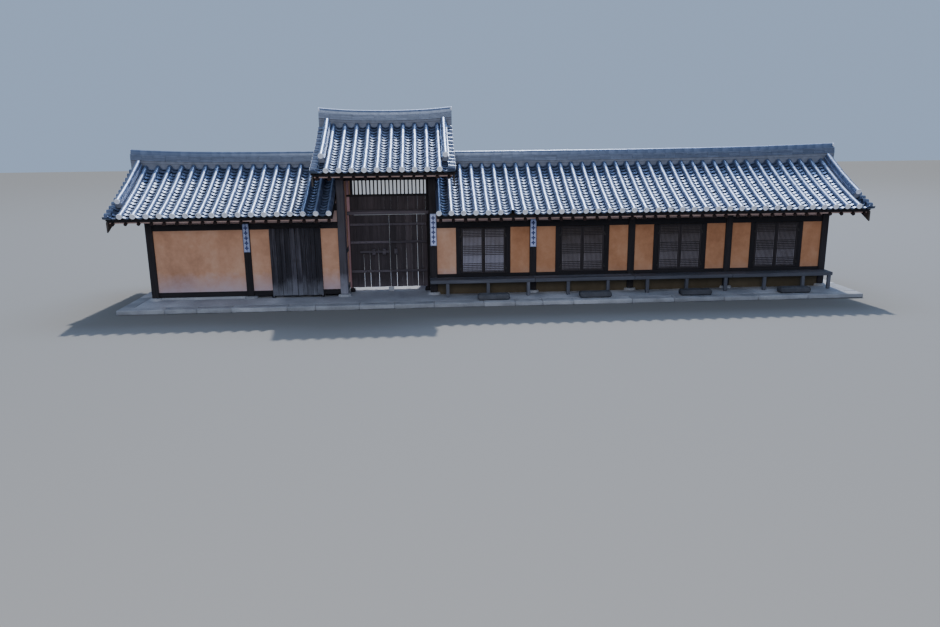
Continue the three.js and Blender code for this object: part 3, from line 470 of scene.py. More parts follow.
class Shape:
    """The solids of one piece. Each vertex knows its place in the grain and its solid's tone."""

    def __init__(self, name):
        self.name = name
        self.rng = np.random.default_rng(zlib.crc32(name.encode()))
        self.points, self.grain, self.tones = [], [], []
        self.faces, self.looks, self.slots = [], [], []
        self.count = 0

    def add(self, points, faces, look, grain=None, tones=None):
        """Adds copies of one solid: points is copies by points by 3, faces number the points."""
        copies, size = points.shape[:2]
        if look not in self.slots:
            self.slots.append(look)
        if volume(points[0], faces) < 0:
            faces = [polygons[:, ::-1] for polygons in faces]
        starts = self.count + size * np.arange(copies)[:, None, None]
        for polygons in faces:
            self.faces += (starts + polygons).reshape(-1, polygons.shape[1]).tolist()
        self.looks += [self.slots.index(look)] * (len(self.faces) - len(self.looks))
        grain = points if grain is None else grain
        if tones is None:
            tones = self.rng.normal(0.5, 0.17, copies)
        self.points.append(points.reshape(-1, 3))
        self.grain.append(np.broadcast_to(grain, points.shape).reshape(-1, 3))
        self.tones.append(np.repeat(np.clip(tones, 0, 1), size))
        self.count += copies * size

    def tube(self, rings, look, grain=None, tones=None):
        """A solid through rings of points."""
        rings = np.asarray(rings, float)
        self.add(rings.reshape(1, -1, 3), loft_faces(*rings.shape[:2]), look, grain, tones)

    def loft(self, rings, look, lengths, section, tone=None):
        """A grained solid through rings of points. lengths run along it, section lies across it."""
        stations, sides = rings.shape[:2]
        grain = np.column_stack([np.repeat(lengths, sides), np.tile(section, (stations, 1))])
        grain = grain + self.rng.uniform(0, 40, 3)
        self.tube(rings, look, grain[None], None if tone is None else [tone])

    def member(self, xs, ys, zs, look, chamfer=0.006, rough=0.0, stations=2, tone=None):
        """A timber, board or block that fills a box, with its edges eased. The grain runs along it."""
        low = np.array([min(xs), min(ys), min(zs)])
        size = np.array([max(xs), max(ys), max(zs)]) - low
        along = int(np.argmax(size))
        wide, deep = (along + 1) % 3, (along + 2) % 3
        ease = min(chamfer, 0.2 * size.min())
        lengths = np.array([0, *np.linspace(ease, size[along] - ease, stations), size[along]])
        sections = [rectangle(size[wide] - 2 * inset, inset - size[deep] / 2, size[deep] / 2 - inset, ease)
                    for inset in [ease] + [0] * stations + [ease]]
        flat = np.roll(sections, -1, axis=1)
        if rough:
            flat[1:-1] -= np.abs(self.rng.normal(0, rough, flat[1:-1].shape)) * np.sign(flat[1])
        rings = np.empty((len(lengths), 8, 3))
        rings[..., along] = low[along] + lengths[:, None]
        rings[..., wide] = low[wide] + size[wide] / 2 + flat[..., 0]
        rings[..., deep] = low[deep] + size[deep] / 2 + flat[..., 1]
        self.loft(rings, look, lengths, flat[1], tone)

    def log(self, start, end, radius, look, sides=12, rough=0.03, stations=6):
        """A round timber, pin or stud between two points. radius may be a pair, start and end."""
        start, end = np.array(start, float), np.array(end, float)
        length = np.linalg.norm(end - start)
        along = (end - start) / length
        side = np.cross(np.eye(3)[2 if abs(along[2]) < 0.9 else 0], along)
        side /= np.linalg.norm(side)
        share = np.linspace(0, 1, stations)
        first, last = np.broadcast_to(radius, 2)
        radii = (first + (last - first) * share) * (1 - rough * self.rng.uniform(0, 1, stations))
        flat = radii[:, None, None] * np.stack(circle(sides), -1)
        path = (start + share[:, None] * (end - start))[:, None]
        rings = path + flat[..., :1] * side + flat[..., 1:] * np.cross(along, side)
        self.loft(rings, look, share * length, flat[0])

    def pin(self, x, y, zs, radius, look):
        """A short upright pin."""
        self.log((x, y, zs[0]), (x, y, zs[1]), radius, look, 10, 0.0, 2)

    def sweep(self, path, section, side, ups, look):
        """A section (across, up) carried along a path, with an up direction at each point."""
        path, section = np.asarray(path, float), np.asarray(section, float)
        ups = np.broadcast_to(np.asarray(ups, float), path.shape)
        rings = path[:, None] + section[None, :, :1] * np.asarray(side, float)
        rings = rings + section[None, :, 1:] * ups[:, None]
        steps = np.linalg.norm(np.diff(path, axis=0), axis=1)
        self.loft(rings, look, np.concatenate([[0], np.cumsum(steps)]), section)

    def prism(self, xs, outline, lift, look):
        """An outline in Y and Z, raised by lift and carried along X."""
        self.sweep([(x, 0.0, lift) for x in xs], outline, (0, 1, 0), (0, 0, 1), look)

    def studs(self, centres, radius):
        """Domed iron nail heads on a face toward the courtyard."""
        across, up = circle(8)
        dome = [np.column_stack([wide * across, np.full(8, -rise), wide * up])
                for wide, rise in ((1.0, -0.3), (1.0, 0.0), (0.75, 0.4), (0.3, 0.62))]
        points = np.reshape(centres, (-1, 1, 3)) + radius * np.reshape(dome, (1, -1, 3))
        self.add(points, loft_faces(4, 8), "iron")

    def finish(self, node=None, body="range"):
        """Makes the mesh, which stands for the CAD node where one is given."""
        mesh = bpy.data.meshes.new(self.name)
        mesh.from_pydata(np.concatenate(self.points), [], self.faces, shade_flat=False)
        mesh.polygons.foreach_set("material_index", self.looks)
        grain = mesh.attributes.new("grain", "FLOAT_VECTOR", "POINT")
        grain.data.foreach_set("vector", np.concatenate(self.grain).ravel())
        tone = mesh.attributes.new("tone", "FLOAT", "POINT")
        tone.data.foreach_set("value", np.concatenate(self.tones))
        for look in self.slots:
            mesh.materials.append(LOOKS[look])
        mesh.set_sharp_from_angle(angle=CREASE)
        piece = add_to_scene(self.name, mesh)
        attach(piece, body)
        if node:
            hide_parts(node)


# Roof surface
def surface_z(d):
    e = EAVE - d
    return TROUGH_Z + EAVE_SLOPE * e + (RIDGE_SLOPE - EAVE_SLOPE) * e * e / (2 * EAVE)


def surface_fall(d):
    return EAVE_SLOPE + (RIDGE_SLOPE - EAVE_SLOPE) * (EAVE - d) / EAVE


def slope_table():
    """Lengths measured up the slope from the eave, and the distances d that they reach."""
    d = np.linspace(EAVE + 0.06, 0.0, 200)
    steps = np.hypot(np.diff(d), np.diff(surface_z(d)))
    run = np.concatenate([[0], np.cumsum(steps)])
    return run - np.interp(-EAVE, -d, run), d


SLOPE_RUN, SLOPE_D = slope_table()
SLOPE_LENGTH = SLOPE_RUN[-1]


def on_slope(x, side, lift):
    """Places on one slope, from a length up the slope, a distance across and a height above."""

    def at(run, across, up):
        d = np.interp(run, SLOPE_RUN, SLOPE_D)
        fall = surface_fall(d)
        length = np.hypot(1, fall)
        y = side * (d + up * fall / length)
        z = surface_z(d) + lift + up / length
        return np.stack(np.broadcast_arrays(x + across, y, z), -1)

    return at


def on_line(start, end, z, rises=(0.0, 0.0)):
    """Places along a ridge that runs in X and sweeps up at its ends."""

    def at(run, across, up):
        share = np.clip(run / (end - start), 0, 1)
        sweep = rises[0] * (1 - share) ** 4 + rises[1] * share**4
        return np.stack(np.broadcast_arrays(start + run, across, z + sweep + up), -1)

    return at


def tile_axes(rows, across):
    """A tile's numbers as arrays over copies, sheets, rows and places across."""
    return (np.reshape(rows, (1, 1, -1, 1)), np.reshape(across, (1, 1, 1, -1)),
            np.reshape([0.0, 1.0], (1, -1, 1, 1)))


def add_tiles(shape, points, faces, rows, sheet, look, tones):
    """Adds copies of a tile. Its grain runs from lip to neck in X, and from top to underside in Z."""
    grain = np.zeros(points.shape)
    grain[..., 0] = rows
    grain[..., 2] = sheet
    flat = (len(points), -1, 3)
    shape.add(points.reshape(flat), faces, look, grain.reshape(flat), tones)


def trough_tiles(shape, at, starts, drop=0.0):
    """Tiles that lie hollow side up. Each one's lip lies on the tile below it."""
    count = len(starts)
    rows, across, sheet = tile_axes([0.0, 0.14, 1.0], np.linspace(-1, 1, 7))
    wobble = shape.rng.normal(0, 1, (4, count, 1, 1, 1))
    run = np.reshape(starts, (-1, 1, 1, 1)) + rows * TROUGH_STEP * TROUGH_LAP + 0.003 * wobble[0]
    up = TROUGH_SAG * across**2 + TILE_LIP * (0.9 - rows) - sheet * TILE_THICK - drop
    up = up + 0.0015 * wobble[1] + 0.003 * wobble[3] * across
    points = at(run, TROUGH_HALF * across + 0.003 * wobble[2], up)
    tones = shape.rng.normal(0.45, 0.17, count)
    add_tiles(shape, points, shell_faces(3, 7), rows, sheet, "tile", tones)


def cover_tiles(shape, at, starts, step=COVER_STEP, radius=COVER_RADIUS, sink=0.0, foot=COVER_FOOT):
    """Round tiles laid hollow side down. Each one's neck goes under the tile above it."""
    count = len(starts)
    turns = np.linspace(math.pi, 0, 7)
    drop = (foot - COVER_CENTRE) / radius
    rows, across, sheet = tile_axes([0.0, 0.08, 1.0], [-1.0, *np.cos(turns), 1.0])
    rise = np.array([drop, *np.sin(turns), drop])
    wobble = shape.rng.normal(0, 1, (3, count, 1, 1, 1))
    reach = radius * (1 - 0.035 * rows) - sheet * COVER_THICK
    run = np.reshape(starts, (-1, 1, 1, 1)) + rows * step * COVER_LAP + 0.002 * wobble[0]
    up = COVER_CENTRE - sink + reach * rise + 0.0012 * wobble[2]
    points = at(run, reach * across + 0.002 * wobble[1], up)
    tones = shape.rng.normal(0.5, 0.12) + shape.rng.normal(0, 0.09, count)
    add_tiles(shape, points, shell_faces(3, 9), rows, sheet, "cover", tones)


def lime_plug(shape, at, run, radius=COVER_RADIUS, sink=0.0, outward=-1.0):
    """The round lime face, a little hollow, that closes the end of a row of round tiles."""
    across, up = circle(16)
    centre = COVER_CENTRE - 0.004 - sink
    steps = ((-0.05, 0.9), (0.014, 1.04), (0.024, 1.0), (0.024, 0.8), (0.017, 0.72))
    rings = [at(run + outward * depth, radius * share * across, centre + radius * share * up)
             for depth, share in steps]
    shape.tube(rings, "lime")


def flat_pieces(shape, at, length, width, z):
    """One course of a ridge: flat tile pieces laid end to end on both sides."""
    count = max(2, round(length / FLAT_PIECE))
    starts = np.arange(count)[:, None, None, None]
    ends = np.array([0.006, 0.994])[None, :, None, None]
    wobble = shape.rng.normal(0, 1, (2, count, 1, 1, 1))
    across = np.array([-0.5, 0.5, 0.5, -0.5]) * width
    rise = np.array([0.007, 0.007, COURSE - 0.003, COURSE - 0.003])
    run = (starts + ends) * length / count
    points = at(run, across + 0.003 * wobble[0], z + rise + 0.0008 * wobble[1])
    add_tiles(shape, points, loft_faces(2, 4), 0.3, 0.0, "tile", shape.rng.normal(0.5, 0.12, count))


def stacked_ridge(shape, at, length, courses, width, foot, stations=25):
    """A ridge: a mortar bed, courses of flat tile pieces, and a row of round tiles on top."""
    path = at(np.linspace(0, length, stations), 0.0, 0.0)
    ups = at(np.linspace(0, length, stations), 0.0, 1.0) - path
    side = (at(0.0, 1.0, 0.0) - at(0.0, 0.0, 0.0)).ravel()

    def mortar(wide, low, high, ease=0.006):
        shape.sweep(path, rectangle(wide, low, high, ease), side, ups, "joint")

    mortar(width * 0.88, foot, foot + RIDGE_BED, 0.012)
    z = foot + RIDGE_BED
    for n in range(courses):
        wide = width * (0.98 - 0.035 * n)
        mortar(wide * 0.84, z - 0.004, z + COURSE)
        flat_pieces(shape, at, length, wide, z)
        z += COURSE
    mortar(2 * COVER_RADIUS * 0.86, z - 0.004, z + 0.03)
    count = max(1, round(length / COVER_STEP))
    step = length / count
    starts = step * np.arange(count)
    starts[-1] -= step * 0.13
    cover_tiles(shape, at, starts, step, COVER_RADIUS, COVER_FOOT - z)
    return COVER_FOOT - z


def ridge_filling(shape, start, end, z, rises):
    """The mortar that closes the space between the tops of both slopes and the foot of the ridge."""
    half, foot, top = 0.8 * RIDGE_HALF, -0.11, 0.05
    runs = np.linspace(0, end - start, 25)
    level, raised = on_line(start, end, z), on_line(start, end, z, rises)
    corners = ((level, -half, foot), (level, half, foot), (raised, half, top), (raised, -half, top))
    rings = np.stack([place(runs, across, up) for place, across, up in corners], 1)
    shape.loft(rings, "joint", runs, [corner[1:] for corner in corners])


def verge(shape, x, side, lift):
    """The low ridge that runs down beside a gable."""
    slope = on_slope(x, side, lift)
    foot, head = VERGE_RUN
    length = SLOPE_LENGTH - foot - head

    def along(run, across, up):
        return slope(foot + np.asarray(run), across, up)

    sink = stacked_ridge(shape, along, length, VERGE_COURSES, VERGE_WIDTH, VERGE_FOOT, 12)
    lime_plug(shape, along, 0.0, COVER_RADIUS, sink)


def gable_tiles(shape, x, out, side, lift):
    """Short tiles laid crosswise outside a verge, which drain over the gable."""
    start = x + out * 0.06
    length = VERGE_INSET - 0.075
    slope = on_slope(start, side, lift)
    top = SLOPE_LENGTH - 0.18

    def crosswise(run, stretch, rise):
        def at(down, across, up):
            placed = slope(run + across * stretch, 0.0, up + rise - GABLE_FALL * (length - down))
            placed[..., 0] = start + out * (length - down)
            return placed

        return at

    for run in np.arange(0.1, top, GABLE_STEP):
        at = crosswise(run, 1.0, 0.05)
        cover_tiles(shape, at, [0.0], length / COVER_LAP, GABLE_COVER, GABLE_SINK, 0.04)
        lime_plug(shape, at, 0.012, GABLE_PLUG, GABLE_SINK)
    for run in np.arange(0.0, top, GABLE_STEP):
        trough_tiles(shape, crosswise(run, 0.8, 0.02), [0.0])


def tiled_slope(shape, rows, outer, side, lift, missing):
    """The round rows of one slope, and the troughs between them and beside its verges."""
    trough_starts = np.arange(EAVE_LIP, SLOPE_LENGTH - 0.12, TROUGH_STEP)
    cover_starts = np.arange(0.0, SLOPE_LENGTH - 0.22, COVER_STEP)
    for x in [*(rows[:-1] + rows[1:]) / 2, *outer]:
        at = on_slope(x, side, lift)
        trough_tiles(shape, at, trough_starts)
        trough_tiles(shape, at, [EAVE_LIP + 0.008], TILE_THICK + 0.004)
    for x in rows:
        at = on_slope(x, side, lift)
        cover_tiles(shape, at, cover_starts)
        if side > 0 or abs(x - missing) > TILE_PITCH / 2:
            lime_plug(shape, at, 0.0)


def roof_bed(shape, xs, lift):
    """The earth under the tiles, coloured dark as painted shade where it shows under them."""
    d = np.linspace(BED_END, 0.0, 9)
    top = np.column_stack([d, surface_z(d) - 0.015])
    under = [(0.0, deck_z(DECK_TOP, 0.0)), (BOARDS_END, deck_z(DECK_TOP, BOARDS_END))]
    outline = np.concatenate([top, under])
    for side in (-1, 1):
        shape.prism(xs, outline * (side, 1), lift, "bed")


def tile_rows(first, last):
    """The places of the rows of round tiles between two ends."""
    count = round(abs(last - first) / TILE_PITCH)
    return first + (last - first) * np.arange(count + 1) / count


def tiles(name, ends, rows, lift, missing):
    shape = Shape(f"{name}_tiles")
    roof_bed(shape, (ends[0][0] + 0.01, ends[1][0] - 0.01), lift)
    outer = [x - out * (ROW_FROM_GABLE - TILE_PITCH / 2) for x, out in ends if out]
    for side in (-1, 1):
        tiled_slope(shape, rows, outer, side, lift, missing)
    shape.finish(f"{name}_roof_tiles")


def ridges(name, ends, lift):
    """The ridge along one roof, which rises toward its gables, and the verges down them."""
    shape = Shape(f"{name}_ridges")
    start, end = within([x for x, out in ends], 0.012)
    rises = [RIDGE_RISE * abs(out) for x, out in ends]
    z = surface_z(0.0) + lift
    at = on_line(start, end, z, rises)
    sink = stacked_ridge(shape, at, end - start, RIDGE_COURSES, 2 * RIDGE_HALF, RIDGE_FOOT)
    for x, out in ends:
        if out:
            ridge_end = end - start if out > 0 else 0.0
            lime_plug(shape, at, ridge_end - 0.014 * out, COVER_RADIUS, sink, out)
            for side in (-1, 1):
                verge(shape, x - out * VERGE_INSET, side, lift)
                gable_tiles(shape, x - out * VERGE_INSET, out, side, lift)
    ridge_filling(shape, start, end, z, rises)
    shape.finish()


def roof(name, ends, row_ends, lift, missing=math.inf):
    """One roof. Each end is a place in X and the way out of the roof, which is 0 beside the gate."""
    ends = sorted(ends)
    rafters(name, [x - out * DECK_INSET for x, out in ends], lift)
    tiles(name, ends, tile_rows(*row_ends), lift, missing)
    ridges(name, ends, lift)


# Timber of the walls and roofs. A batten's near and far side, foot, head and eased edge are given.
EAVE_BATTENS = ((2.165, 2.225, 2.262, 2.3, 0.006), (2.19, 2.24, 2.302, 2.322, 0.004))
BARGEBOARD = (0.04, -0.175, 0.085)  # its thickness, and its foot and top from the rafters' axes
KING_POST = ((0.17, TIE_TOP - GAP), (0.11, RIDGE_PURLIN_FOOT + 0.03))  # half its width at a height
UNDER_LOG = 0.02  # from the ties' top to where the plaster stops below the eave purlin
OVER_LOG = 0.2  # from the ties' top to where it goes on above
LEAST_FIELD = 0.02  # a lower gap between rails has no plaster


def deck_z(rise, d):
    return RAFTER_END_Z + SLOPE * (RAFTER_END - d) + rise


def rafter_foot(d):
    return deck_z(0.0, d) - RAFTER_RADIUS * math.hypot(1, SLOPE)


def slope_board(shape, xs, side, lift, end, rises, look):
    """A sheet that lies up one slope, between two heights above the rafters' axes."""
    corners = ((end, rises[0]), (end, rises[1]), (0.0, rises[1]), (0.0, rises[0]))
    shape.prism(xs, [(side * d, deck_z(rise, d)) for d, rise in corners], lift, look)


def rafters(name, xs, lift):
    """Round rafters in pairs, the plaster between them, and the battens along the eaves."""
    shape = Shape(f"{name}_rafter_logs")
    run = xs[1] - xs[0] - 2 * RAFTER_INSET
    count = round(run / RAFTER_PITCH)
    for side in (-1, 1):
        for n in range(count + 1):
            x = xs[0] + RAFTER_INSET + n * run / count + shape.rng.normal(0, 0.006)
            radius = RAFTER_RADIUS * shape.rng.uniform(0.86, 0.99)
            drop = RAFTER_RADIUS - radius
            reach = RAFTER_END + shape.rng.uniform(0.0, 0.025)
            foot = (x, side * reach, deck_z(drop, reach) + lift)
            head = (x + shape.rng.normal(0, 0.01), side * RAFTER_HEAD, deck_z(drop, RAFTER_HEAD) + lift)
            shape.log(foot, head, (radius, radius * 0.9), "rafter", 12, 0.05, 7)
        infill = (DECK_FOOT - 0.02, DECK_TOP - 0.02)
        slope_board(shape, within(xs, 0.02), side, lift, 2.16, infill, "infill")
        slope_board(shape, xs, side, lift, BOARDS_END, (DECK_TOP - BOARDS_THICK, DECK_TOP), "beam")
        for near, far, low, high, chamfer in EAVE_BATTENS:
            shape.member(xs, (side * near, side * far), (low + lift, high + lift), "beam", chamfer)
    shape.finish(f"{name}_rafters")


def bargeboards(name, end, out, lift):
    shape = Shape(f"{name}_gable_boards")
    d = np.array([DECK_END, 0.0])
    for side in (-1, 1):
        path = np.column_stack([np.full(2, end - out * 0.05), side * d, deck_z(0.0, d) + lift])
        shape.sweep(path, rectangle(*BARGEBOARD), (1, 0, 0), (0, 0, 1), "gable")
    shape.finish(f"{name}_bargeboards")


def purlin(shape, xs, y, size, lift):
    radius, z = size
    shape.log((xs[0], y, z + lift), (xs[1], y, z + lift), radius, "timber", 16, 0.02, 10)


def truss(shape, x, lift):
    """A tie beam, and a king post that narrows upwards from it to the ridge purlin."""
    ys = (-TIE_REACH, TIE_REACH)
    shape.member(about(x, TIE_WIDTH), ys, (POST_TOP + GAP + lift, TIE_TOP - GAP + lift), "timber", 0.02)
    rings = np.empty((2, 8, 3))
    for n, (half, z) in enumerate(KING_POST):
        section = np.array(rectangle(2 * half, -0.06, 0.06, 0.012))
        rings[n, :, 0] = x + section[:, 1]
        rings[n, :, 1] = section[:, 0]
        rings[n, :, 2] = z + lift
    shape.loft(rings, "timber", [0, 0.56], section)


def long_wall(shape, wing, side):
    """The posts, sill, header and purlin of one long wall. It gives the clear span of each bay."""
    y = side * HALF_DEPTH
    for n, post in enumerate(wing.posts):
        zs = (PLINTH_TOP + GAP, POST_TOP + wing.lift)
        shape.member(about(post, POST), about(y, POST), zs, "timber", 0.012)
        for zs in (wing.sill, wing.header):
            shape.member(wing.beside(n), about(y, FRAME_DEPTH), zs, "beam", 0.008)
    ends = (wing.face + wing.out * GAP, wing.roof_end - wing.out * PURLIN_INSET)
    purlin(shape, sorted(ends), y, EAVE_LOG, wing.lift)
    return [wing.beside(n) for n in range(len(wing.posts))]


def plate(shape, wing, side):
    """The plaster between the header and the rafters."""
    xs = (wing.face + wing.out * GAP, wing.end - wing.out * POST / 2)
    below = (wing.header[1] + GAP, TIE_TOP + UNDER_LOG + wing.lift)
    above = (TIE_TOP + OVER_LOG + wing.lift, rafter_foot(1.16) + 0.07 + wing.lift)
    shape.member(xs, about(side * HALF_DEPTH, PLASTER), below, "infill")
    shape.member(xs, about(side * (HALF_DEPTH + 0.01), 0.05), above, "infill")


def right_front():
    shape = Shape("right_front_timbers")
    long_wall(shape, right, -1)
    zs = within((RIGHT_SILL[1], right.header[0]), GAP)
    for n in range(RIGHT_BAYS):
        for hand in (-1, 1):
            inner = bay_centre(n) + hand * LATTICE_OPENING / 2
            xs = (inner, inner + hand * LATTICE_JAMB)
            shape.member(xs, about(-HALF_DEPTH, FRAME_DEPTH), zs, "stop", 0.006)
            hinges(shape, inner, -hand, False)
    shape.finish("right_front_frame")


def left_front():
    """The left wing's front, with the blocks that carry the plank leaves' pivots."""
    shape = Shape("left_front_timbers")
    long_wall(shape, left, -1)
    zs = within((LEFT_SILL[1], left.header[0]), GAP)
    for hand, node in ((-1, "plank_leaf_left"), (1, "plank_leaf_right")):
        low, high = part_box(node)
        outer = low.x if hand < 0 else high.x
        shape.member((outer, outer - hand * PLANK_JAMB), about(-HALF_DEPTH, FRAME_DEPTH), zs, "stop")
        xs = about(outer - hand * PLANK_PIVOT, 0.09)
        back = WALL_FACE + 0.002
        shape.member(xs, (low.y, back + 0.02), (PLATFORM_TOP + 0.015, low.z - GAP), "stop", 0.01)
        shape.member(xs, (low.y, back), (high.z + GAP, high.z + 0.035), "stop", 0.01)
    shape.finish("left_front_frame")


def eave_plaster():
    shape = Shape("front_eave_plaster")
    plate(shape, right, -1)
    plate(shape, left, -1)
    shape.finish()


def rear_wall(wing):
    timbers = Shape(f"{wing.name}_rear_timbers")
    fields = Shape(f"{wing.name}_rear_plaster")
    levels = (PLINTH_TOP, *wing.sill, *MID_RAIL, wing.header[0])
    for xs in long_wall(timbers, wing, 1):
        timbers.member(xs, about(HALF_DEPTH, FRAME_DEPTH), MID_RAIL, "beam", 0.008)
        for foot, head in zip(levels[::2], levels[1::2]):
            if head - foot > LEAST_FIELD:
                zs = within((foot, head), GAP)
                fields.member(xs, about(HALF_DEPTH, PLASTER), zs, "plaster", 0.004)
    plate(fields, wing, 1)
    timbers.finish(f"{wing.name}_rear_wall")
    fields.finish()


def cross_wall(timbers, fields, x, post_half, thickness, sill, lift):
    """A wall across the building, with its tie beam, king post and gable."""
    ys = within((-HALF_DEPTH, HALF_DEPTH), post_half + GAP)
    for zs in (sill, MID_RAIL):
        timbers.member(about(x, FRAME_DEPTH), ys, zs, "beam", 0.008)
    truss(timbers, x, lift)
    xs = about(x, thickness)
    for foot, head in ((sill[1], MID_RAIL[0]), (MID_RAIL[1], POST_TOP + lift)):
        fields.member(xs, ys, (foot + GAP, head), "plaster", 0.004)
    if sill[0] - PLINTH_TOP > LEAST_FIELD:
        fields.member(xs, ys, within((PLINTH_TOP, sill[0]), GAP), "earth_wall", 0.004)
    half = HALF_DEPTH - PURLIN / 2 - GAP
    outline = [(-half, TIE_TOP), (half, TIE_TOP), (half, rafter_foot(half)), (0, rafter_foot(0)),
               (-half, rafter_foot(half))]
    fields.prism(xs, outline, lift, "plaster")


def end_wall(wing):
    timbers = Shape(f"{wing.name}_end_timbers")
    fields = Shape(f"{wing.name}_end_plaster")
    cross_wall(timbers, fields, wing.end, POST / 2, PLASTER, wing.sill, wing.lift)
    timbers.finish(f"{wing.name}_end_wall")
    fields.finish()


def roof_timbers(wing):
    shape = Shape(f"{wing.name}_ridge_timbers")
    for x in wing.posts[:-1]:
        truss(shape, x, wing.lift)
    gate_side = wing.face - wing.out * (GATE_POST - GATE_PLASTER) / 2
    purlin(shape, (gate_side, wing.roof_end - wing.out * PURLIN_INSET), 0, RIDGE_LOG, wing.lift)
    shape.finish(f"{wing.name}_roof_timbers")


# Doors of the wings
PAPER_TONES = (0.7, 0.1, 0.2, 0.3)  # the paper of each bay's doors, from dark to pale
HINGE_LEVELS = (0.82, 1.7)
HINGE_HALF = 0.045
PIN_REACH = 0.014
STILE = 0.048
BAR_PITCH = 0.036  # of the upright bars
BAR_BANDS = ((0.02, 0.19, 5), (0.4, 0.61, 6), (0.83, 0.98, 5))  # shares of the height, and bars
PLANK_BATTENS = (0.55, 1.1, 1.65)


def hinges(shape, x, inward, on_leaf):
    """The halves of a lattice leaf's hinges: an iron strap that curls round a pin."""
    y = WALL_FACE - PIN_REACH
    reach = inward * 0.034 if on_leaf else -inward * 0.03
    root = WALL_FACE + (0.004 if on_leaf else 0.001)
    for z in HINGE_LEVELS:
        zs = (z + GAP, z + HINGE_HALF) if on_leaf else (z - HINGE_HALF, z)
        shape.pin(x, y, zs, 0.009, "iron")
        shape.member((x, x + reach), about(y, 0.006), zs, "iron", 0.002)
        shape.member((x + reach * 0.55, x + reach), (y, root), zs, "iron", 0.002)


def spaced(low, high, pitch):
    count = max(1, round((high - low) / pitch))
    return low + (high - low) * np.arange(1, count) / count


def lattice_leaf(bay, hand, name):
    """A leaf of upright bars, with three bands of level bars, over paper."""
    node = f"lattice_leaf_{bay + 1}_{name}"
    shape = Shape(f"lattice_door_{bay + 1}_{name}")
    hinge = bay_centre(bay) + hand * LATTICE_OPENING / 2
    xs = sorted((hinge - hand * 0.005, bay_centre(bay) + hand * 0.0025))
    zs = within((RIGHT_SILL[1], right.header[0]), 0.005)
    ys = (WALL_FACE, WALL_FACE + 0.035)
    for x in (xs[0], xs[1] - STILE):
        shape.member((x, x + STILE), ys, zs, "lattice", 0.004)
    inner = within(xs, STILE)
    for z in (zs[0], zs[1] - STILE):
        shape.member(within(inner, GAP), within(ys, 0.001), (z, z + STILE), "lattice", 0.004)
    heights = within(zs, STILE)

    def layer(xs, front, back, zs, look, chamfer, tone=None):
        shape.member(xs, (ys[0] + front, ys[0] + back), zs, look, chamfer, tone=tone)

    for x in spaced(*inner, BAR_PITCH):
        layer(about(x, 0.009), 0.006, 0.024, heights, "lattice", 0.002)
    for low, high, count in BAR_BANDS:
        for share in np.linspace(low, high, count):
            z = heights[0] + share * (heights[1] - heights[0])
            layer(inner, 0.004, 0.02, about(z, 0.014), "lattice", 0.002)
    layer(inner, 0.0245, 0.0275, heights, "paper", 0.0005, PAPER_TONES[bay])
    hinges(shape, hinge, -hand, True)
    ring_pull(shape, xs[0] + STILE / 2 if hand > 0 else xs[1] - STILE / 2, ys[0], 1.22, 0.024)
    shape.finish(node, node)


def ring_pull(shape, x, face, z, radius):
    """An iron ring that hangs from a stud on a small round plate."""
    shape.log((x, face - 0.003, z), (x, face + 0.001, z), 0.014, "iron", 12, 0.0, 2)
    shape.studs([(x, face - 0.002, z)], 0.006)
    down, side = circle(16)
    across, deep = circle(6)
    ring = radius + 0.003 * across
    points = np.empty((16, 6, 3))
    points[..., 0] = x + ring * side[:, None]
    points[..., 1] = face - 0.0065 + 0.003 * deep
    points[..., 2] = z - radius + ring * down[:, None]
    at = np.arange(96).reshape(16, 6)
    along = np.roll(at, -1, 0)
    faces = np.stack([at, along, np.roll(along, -1, 1), np.roll(at, -1, 1)], -1).reshape(-1, 4)
    shape.add(points.reshape(1, -1, 3), [faces], "iron")


def edge_list(start, end, count, rng):
    """The edges of boards of uneven widths between two places."""
    widths = rng.uniform(0.75, 1.25, count)
    edges = np.concatenate([[0], np.cumsum(widths)]) / widths.sum()
    return start + (end - start) * edges


def plank_leaf(hand, name):
    """A leaf of upright boards, held by battens on its inner side."""
    node = f"plank_leaf_{name}"
    low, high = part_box(node)
    shape = Shape(f"store_door_{name}")
    zs = (low.z + 0.015, high.z - 0.01)
    for edges in pairs(edge_list(low.x, high.x, 5, shape.rng)):
        lean = shape.rng.uniform(0.0, 0.003)
        ragged = shape.rng.uniform(0, 0.006, 2)
        heights = (zs[0] + ragged[0], zs[1] - ragged[1])
        ys = (low.y + lean, high.y - 0.01)
        shape.member(within(edges, SEAM), ys, heights, "plank", 0.005, 0.0012, 7)
    for z in PLANK_BATTENS:
        xs = within((low.x, high.x), 0.03)
        shape.member(xs, (high.y - 0.0095, high.y), about(z, 0.06), "plank", 0.003)
    outer, meeting = (low.x, high.x) if hand < 0 else (high.x, low.x)
    for ends in ((low.z, zs[0] + 0.01), (zs[1] - 0.01, high.z)):
        shape.pin(outer - hand * PLANK_PIVOT, (low.y + high.y) / 2, ends, 0.014, "plank")
    ring_pull(shape, meeting + hand * 0.05, low.y, 1.15, 0.03)
    shape.finish(node, node)


